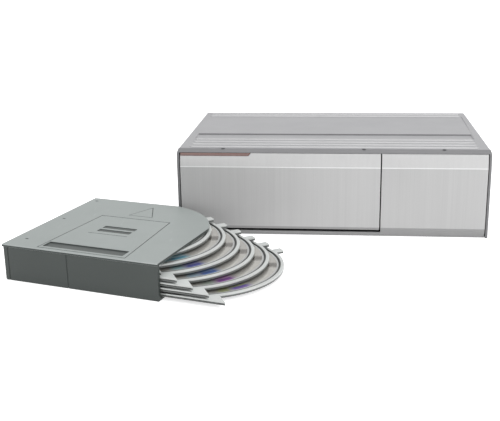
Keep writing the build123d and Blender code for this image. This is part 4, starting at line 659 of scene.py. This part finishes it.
# painted highlight: a lighter copy of the lid plastic along the rim over the spine
LID_RIM_HIGHLIGHT = moulded("lid_rim_painted_highlight", (0.37, 0.40, 0.39), (0.42, 0.45, 0.44), 0.45, FINE, 0.06)
# painted shade: a dark copy of the lid plastic in the lid's grooves and marks
GROOVE_SHADE_PLASTIC = moulded("shaded_groove_plastic", (0.070, 0.080, 0.076), (0.090, 0.100, 0.096),
                         0.60, FINE, 0.05)


# ---------------------------------------------------------------- top cover
def cover_finish(centre, normal):
    """1, painted shade, on the sloped rear edge of the trough; 2, painted highlight, on the crests of the
    beads.
    """
    at_edge = TROUGH_BACK - 1.3 < centre.y < TROUGH_BACK + 0.2 and abs(centre.x) < TROUGH_LENGTH / 2 - 0.3
    if at_edge and 0.05 < normal.z < 0.97 and normal.y < -0.1:
        return 1
    return 2 if centre.z > TOP + 0.3 else 0


cover = soften(copy_of("top_cover", "cover_sheet"), 0.4, segments=3, angle=25.0, smooth=50.0)
finish_piece(cover, COVER_PAINT, "chassis", "top_cover")
paint_faces(cover, (COVER_SHADE, COVER_CREST_HIGHLIGHT), cover_finish)


# ---------------------------------------------------------------- bezel, panel, door
def bezel_finish(centre, normal):
    """0, silver paint darkened as painted shade, on the band and the cheeks; 1, painted shadow, inside."""
    return 0 if centre.z > BAND_FOOT or abs(centre.x) > CHEEK_FROM else 1


bezel = soften(copy_of("front_bezel", "bezel"), 0.25)
finish_piece(bezel, BAND_SHADED_PAINT, "chassis", "front_bezel")
paint_faces(bezel, (INNER_DARK,), bezel_finish)


def face_finish(centre, normal):
    """1 on the painted highlight along the crease, 2 on the painted shade of the curled lower edge, 3 on the
    painted light of the bevel over the crease.
    """
    if normal.y < -0.3 and abs(centre.z - CREASE) < LINE_UNDER:
        return 1
    if centre.z < ROLL_TOP - 0.1:
        return 2
    return 3 if centre.z > CREASE else 0


def face_skin(node, name, body):
    """A face piece with a painted highlight along its upper crease, painted shade on its curled lower edge
    and painted light on the bevel over the crease.
    """
    piece = soften(copy_of(node, name), 0.25, segments=3)
    cut_level(piece, CREASE - LINE_UNDER)
    cut_level(piece, CREASE + LINE_OVER)
    finish_piece(piece, FACE_METAL, body, node)
    paint_faces(piece, (FACE_CREASE_HIGHLIGHT, FACE_CURL_SHADE, FACE_BEVEL_LIT), face_finish)


face_skin("front_panel", "panel_right", "chassis")
face_skin("door", "door_skin", "door")
lens = soften(copy_of("door_lens", "door_lens_clear"), 0.15)
finish_piece(lens, smoked_lens(), "door", "door_lens")


# ---------------------------------------------------------------- screws with a cross recess
def screw(name, centre, radius, height, axis, side):
    """Pan head with a cross recess; side is the way that the head looks along the axis."""
    head = rod(name, centre, radius, height, axis, 32)
    soften(head, min(0.35, height * 0.45), segments=3, angle=40.0)
    out = {"X": Vector((side, 0, 0)), "Z": Vector((0, 0, side))}[axis]
    across = [v for v in (Vector((1, 0, 0)), Vector((0, 1, 0)), Vector((0, 0, 1))) if abs(v.dot(out)) < 0.5]
    middle = Vector(centre) + out * (height * 1.15)
    rise = Vector([abs(c) for c in out]) * height
    slots = []
    for along, aside in (across, across[::-1]):
        half = along * radius * 0.62 + aside * radius * 0.13 + rise
        slots.append(block("slot", middle - half, middle + half))
    return carve(head, slots)


bezel_heads = [screw(f"bezel_screw_{i}", (x, FRONT + 10.0, TOP + 0.12), 1.7, 0.36, "Z", 1)
               for i, x in enumerate(BEZEL_SCREWS)]
finish_piece(join("bezel_screw_heads", bezel_heads), SCREW_BLACK, "chassis", "bezel_screws")
cover_heads = [screw(f"cover_screw_{i}", (side * (HALF_WIDTH + 0.28), y, COVER_SCREW_Z), 2.8, 0.6, "X", side)
               for i, (side, y) in enumerate(COVER_SCREWS)]
finish_piece(join("cover_screw_heads", cover_heads), SCREW_BLACK, "chassis", "cover_screws")


# ---------------------------------------------------------------- magazine
def stroke(start, end, width, depth):
    """A narrow tool between two places on the lid, sunk by its depth."""
    a, b = on_magazine(*start), on_magazine(*end)
    run = b - a
    tool = cube_at((a + b) / 2 + Vector((0, 0, LID_TOP)))
    tool.scale = (run.length * MM, width * MM, 2 * depth * MM)
    tool.rotation_euler = (0, 0, Vector((run.x, run.y)).angle_signed(Vector((1, 0))))
    return settle(tool)


def front_rim(a, b):
    """Whether an edge is the lid's long upper edge over the spine."""
    across = [(end - MAG_CORNER).dot(MAG_W) for end in (a, b)]
    return min(a.z, b.z) > LID_TOP - 0.01 and max(across) < 0.01 and (a - b).length > 5.0


def lid_finish(centre, normal):
    """1, painted shade, on the lid's upright edges; 2, painted shade, in its grooves; 3, painted highlight,
    on the rim over the spine.
    """
    u, w = (centre - MAG_CORNER).dot(MAG_U), (centre - MAG_CORNER).dot(MAG_W)
    at_edge = w < 0.1 or u > MAG_LENGTH - 0.1
    sunk = centre.z < LID_TOP - 0.12
    if sunk and abs(normal.z) < 0.35 and at_edge:
        return 1
    if w < 0.7 and normal.z > 0.3 and normal.dot(MAG_W) < -0.2:
        return 3
    on_top = centre.z > LID_TOP - 1.5 and 1.5 < u < 128.0 and 1.5 < w < 125.0
    return 2 if sunk and on_top and not at_edge else 0


ARROW = ((62.8, 120.0), (53.8, 95.2), (75.0, 95.2))
marks = [stroke(ARROW[i], ARROW[j], 0.5, 0.25) for i, j in ((0, 1), (0, 2), (1, 2))]
marks += [stroke((50.7, w), (79.0, w), 5.4, 0.6) for w in (53.4, 61.6)]
marks += [stroke((46.0, 45.6), (80.5, 45.6), 0.6, 0.3)]
marks += [stroke((u, w), (u + 2.4, w), 1.6, 0.4) for u, w in ((9.2, 17.0), (7.0, 70.0), (5.0, 123.0))]
lid = carve(copy_of("magazine_lid", "magazine_top"), marks)
# a narrow bevel along that rim carries the painted highlight
pick_edges(lid, front_rim)
bpy.ops.mesh.bevel(offset=0.6 * MM, segments=1)
leave()
soften(lid, 0.18, angle=50.0)
finish_piece(lid, LID_PLASTIC, "magazine", "magazine_lid")
paint_faces(lid, (SPINE_SHADED_PLASTIC, GROOVE_SHADE_PLASTIC, LID_RIM_HIGHLIGHT), lid_finish)

spine = soften(copy_of("magazine_spine", "magazine_spine_cap"), 0.3, segments=3)
finish_piece(spine, SPINE_SHADED_PLASTIC, "magazine", "magazine_spine")
case = soften(copy_of("magazine_case", "magazine_body"), 0.2)
finish_piece(case, SPINE_SHADED_PLASTIC, "magazine", "magazine_case")

# ---------------------------------------------------------------- trays
groove = block("strip_groove", (FIRST_PULL + 5.0, 2.4, TRAY_TOP - 1.65),
               (FIRST_PULL + 111.8, 4.1, TRAY_TOP - 1.05))
groove.data.transform(Matrix.Translation(MAG_CORNER * MM) @ Matrix.Rotation(-MAG_TURN, 4, "Z"))
top_tray = soften(carve(copy_of("tray_1", "tray_a"), [groove]), 0.2)
trays = [top_tray] + [copied(top_tray, f"tray_{'abcdef'[n]}", fanned(n)) for n in range(1, TRAYS)]
for n, tray in enumerate(trays):
    middle = on_magazine(DISC_CENTRE + FIRST_PULL, DISC_CENTRE, TRAY_TOP) + fanned(n)
    finish = pale_tray(f"pale_tray_{'abcdef'[n]}", middle)
    finish_piece(tray, finish, f"tray_{n + 1}", f"tray_{n + 1}")

# ---------------------------------------------------------------- discs
low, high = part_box("disc_1")
top_centre = on_magazine(DISC_CENTRE + FIRST_PULL, DISC_CENTRE, (low.z + high.z) / 2 / MM)


def middle_face(centre, normal):
    """Whether a face lies across the top disc's axis, above or below."""
    return abs(normal.z) > 0.9 and (Vector(centre[:2]) - top_centre.xy).length < 0.5


# radius of each ring of the disc, from the outside in, and its rise from the ring before
DISC_RINGS = ((58.6, 0.0), (23.0, 0.0), (22.4, 0.05), (17.6, 0.0), (17.0, 0.12), (16.2, 0.0), (15.6, -0.12),
              (8.2, 0.0), (7.5, 0.0))
# colours of each disc's painted diffraction streaks: middle, pale and deep, and of the painted glint beside
# the first
DISC_LOOKS = [
    ((0.20, 0.42, 0.38), (0.60, 0.72, 0.66), (0.06, 0.26, 0.24), (0.20, 0.52, 0.50)),
    ((0.16, 0.42, 0.50), (0.55, 0.78, 0.84), (0.06, 0.22, 0.34), (0.56, 0.80, 0.84)),
    ((0.10, 0.12, 0.40), (0.36, 0.36, 0.62), (0.05, 0.06, 0.28), (0.52, 0.80, 0.84)),
    ((0.06, 0.16, 0.44), (0.28, 0.42, 0.74), (0.03, 0.07, 0.26), (0.50, 0.70, 0.86)),
    ((0.26, 0.05, 0.32), (0.66, 0.38, 0.66), (0.12, 0.03, 0.20), (0.62, 0.72, 0.62)),
    ((0.22, 0.13, 0.44), (0.52, 0.60, 0.26), (0.12, 0.08, 0.36), (0.62, 0.66, 0.34)),
]
top_disc = rod("disc_a", top_centre, DISC_R, DISC_THICK, "Z", 160)
radius = DISC_R
for ring, rise in DISC_RINGS:
    pick_faces(top_disc, middle_face)
    bpy.ops.mesh.inset(thickness=(radius - ring) * MM, depth=rise * MM)
    leave()
    radius = ring
pick_faces(top_disc, middle_face)
bpy.ops.mesh.bridge_edge_loops()
leave()
soften(top_disc, 0.12, angle=60.0)
for n, look in enumerate(DISC_LOOKS):
    disc = copied(top_disc, f"disc_{'abcdef'[n]}", fanned(n)) if n else top_disc
    finish = disc_silver(f"pressed_disc_{'abcdef'[n]}", top_centre + fanned(n), look, -50.0 if n else -36.0)
    finish_piece(disc, finish, f"tray_{n + 1}", f"disc_{n + 1}")

# ---------------------------------------------------------------- CAD nodes that keep their shape
FINISHES = {
    "zinc_steel": ZINC, "dark_plastic": DARK_PLASTIC, "spring_steel": STEEL, "white_plastic": WHITE_PLASTIC,
    "board_green": BOARD_GREEN, "brass": BRASS, "screw_black": SCREW_BLACK, "face_aluminium": FACE_METAL,
    "cover_metal": COVER_PAINT, "lens_smoke": INNER_DARK, "spine_plastic": SPINE_SHADED_PLASTIC,
    "lid_plastic": LID_PLASTIC, "tray_plastic": WHITE_PLASTIC, "disc_metal": STEEL,
}
finishes = {part["node"]: FINISHES[part["material_slot"]] for part in frame["record"]["subparts"]}
finishes["door_pins"] = finishes["magazine_bay"] = BLACKENED
for node, finish in finishes.items():
    cad[node].data.materials.clear()
    cad[node].data.materials.append(finish)


# ---------------------------------------------------------------- floor, light, camera
def seen_or_mirrored(tree):
    """1 where the camera, a reflection or a clear part shows the backdrop, 0 for light on the object."""
    path = tree.nodes.new("ShaderNodeLightPath").outputs
    seen = larger(tree, path["Is Camera Ray"], path["Is Glossy Ray"])
    return larger(tree, seen, path["Is Transmission Ray"])


def new_lamp(name, place, aim, size, watts):
    """A soft rectangular lamp turned to its aim."""
    lamp = bpy.data.lights.new(name, "AREA")
    lamp.shape = "RECTANGLE"
    lamp.size, lamp.size_y = size
    lamp.energy = watts
    holder = bpy.data.objects.new(name, lamp)
    bpy.context.scene.collection.objects.link(holder)
    holder.location = place
    holder.rotation_euler = (Vector(aim) - Vector(place)).to_track_quat("-Z", "Y").to_euler()


bpy.ops.object.select_all(action="DESELECT")
bpy.ops.mesh.primitive_plane_add(size=12.0, location=(0, 0, -0.0001))
floor = bpy.context.object
floor.name = "white_floor"
paper, tree, shader, _ = new_material("white_paper")
shader.inputs["Base Color"].default_value = (0.9, 0.9, 0.9, 1)
shader.inputs["Roughness"].default_value = 0.9
shader.inputs["Emission Color"].default_value = (1, 1, 1, 1)
tree.links.new(times(tree, seen_or_mirrored(tree), 0.62), shader.inputs["Emission Strength"])
floor.data.materials.append(paper)

world = bpy.data.worlds.new("soft_studio")
bpy.context.scene.world = world
world.use_nodes = True
tree = world.node_tree
sky = tree.nodes["Background"]
tree.links.new(mixed(tree, seen_or_mirrored(tree), (0.55, 0.55, 0.56), (1.0, 1.0, 1.0)), sky.inputs["Color"])
sky.inputs["Strength"].default_value = 1.0

new_lamp("softbox_top", (0.15, 0.1, 1.5), (0, 0, 0), (1.8, 1.4), 13.5)
new_lamp("softbox_right", (0.85, -0.95, 0.60), (0.05, -0.05, 0.03), (0.9, 0.9), 6.5)
new_lamp("softbox_front", (-0.75, -1.75, 0.35), (-0.1, 0, 0.03), (1.2, 0.8), 4.0)

CAMERA_PLACE = Vector((6.7, -791.54, 234.24)) * MM
TILT, YAW, ROLL = 0.2923, 0.1067, -0.0174
FOCAL_PIXELS, PICTURE_PIXELS, SENSOR = 868.8, 500.0, 36.0
level = Vector((cos(YAW), sin(YAW), 0))
ahead = Vector((-sin(YAW) * cos(TILT), cos(YAW) * cos(TILT), -sin(TILT)))
upward = Vector((-sin(YAW) * sin(TILT), cos(YAW) * sin(TILT), cos(TILT)))
right = level * cos(ROLL) + upward * sin(ROLL)
up = upward * cos(ROLL) - level * sin(ROLL)
lens_data = bpy.data.cameras.new("camera")
lens_data.sensor_width = SENSOR
lens_data.lens = FOCAL_PIXELS / PICTURE_PIXELS * SENSOR
lens_data.clip_start, lens_data.clip_end = 0.01, 50.0
camera = bpy.data.objects.new("camera", lens_data)
bpy.context.scene.collection.objects.link(camera)
camera.matrix_world = Matrix.Translation(CAMERA_PLACE) @ Matrix((right, up, -ahead)).transposed().to_4x4()
bpy.context.scene.camera = camera
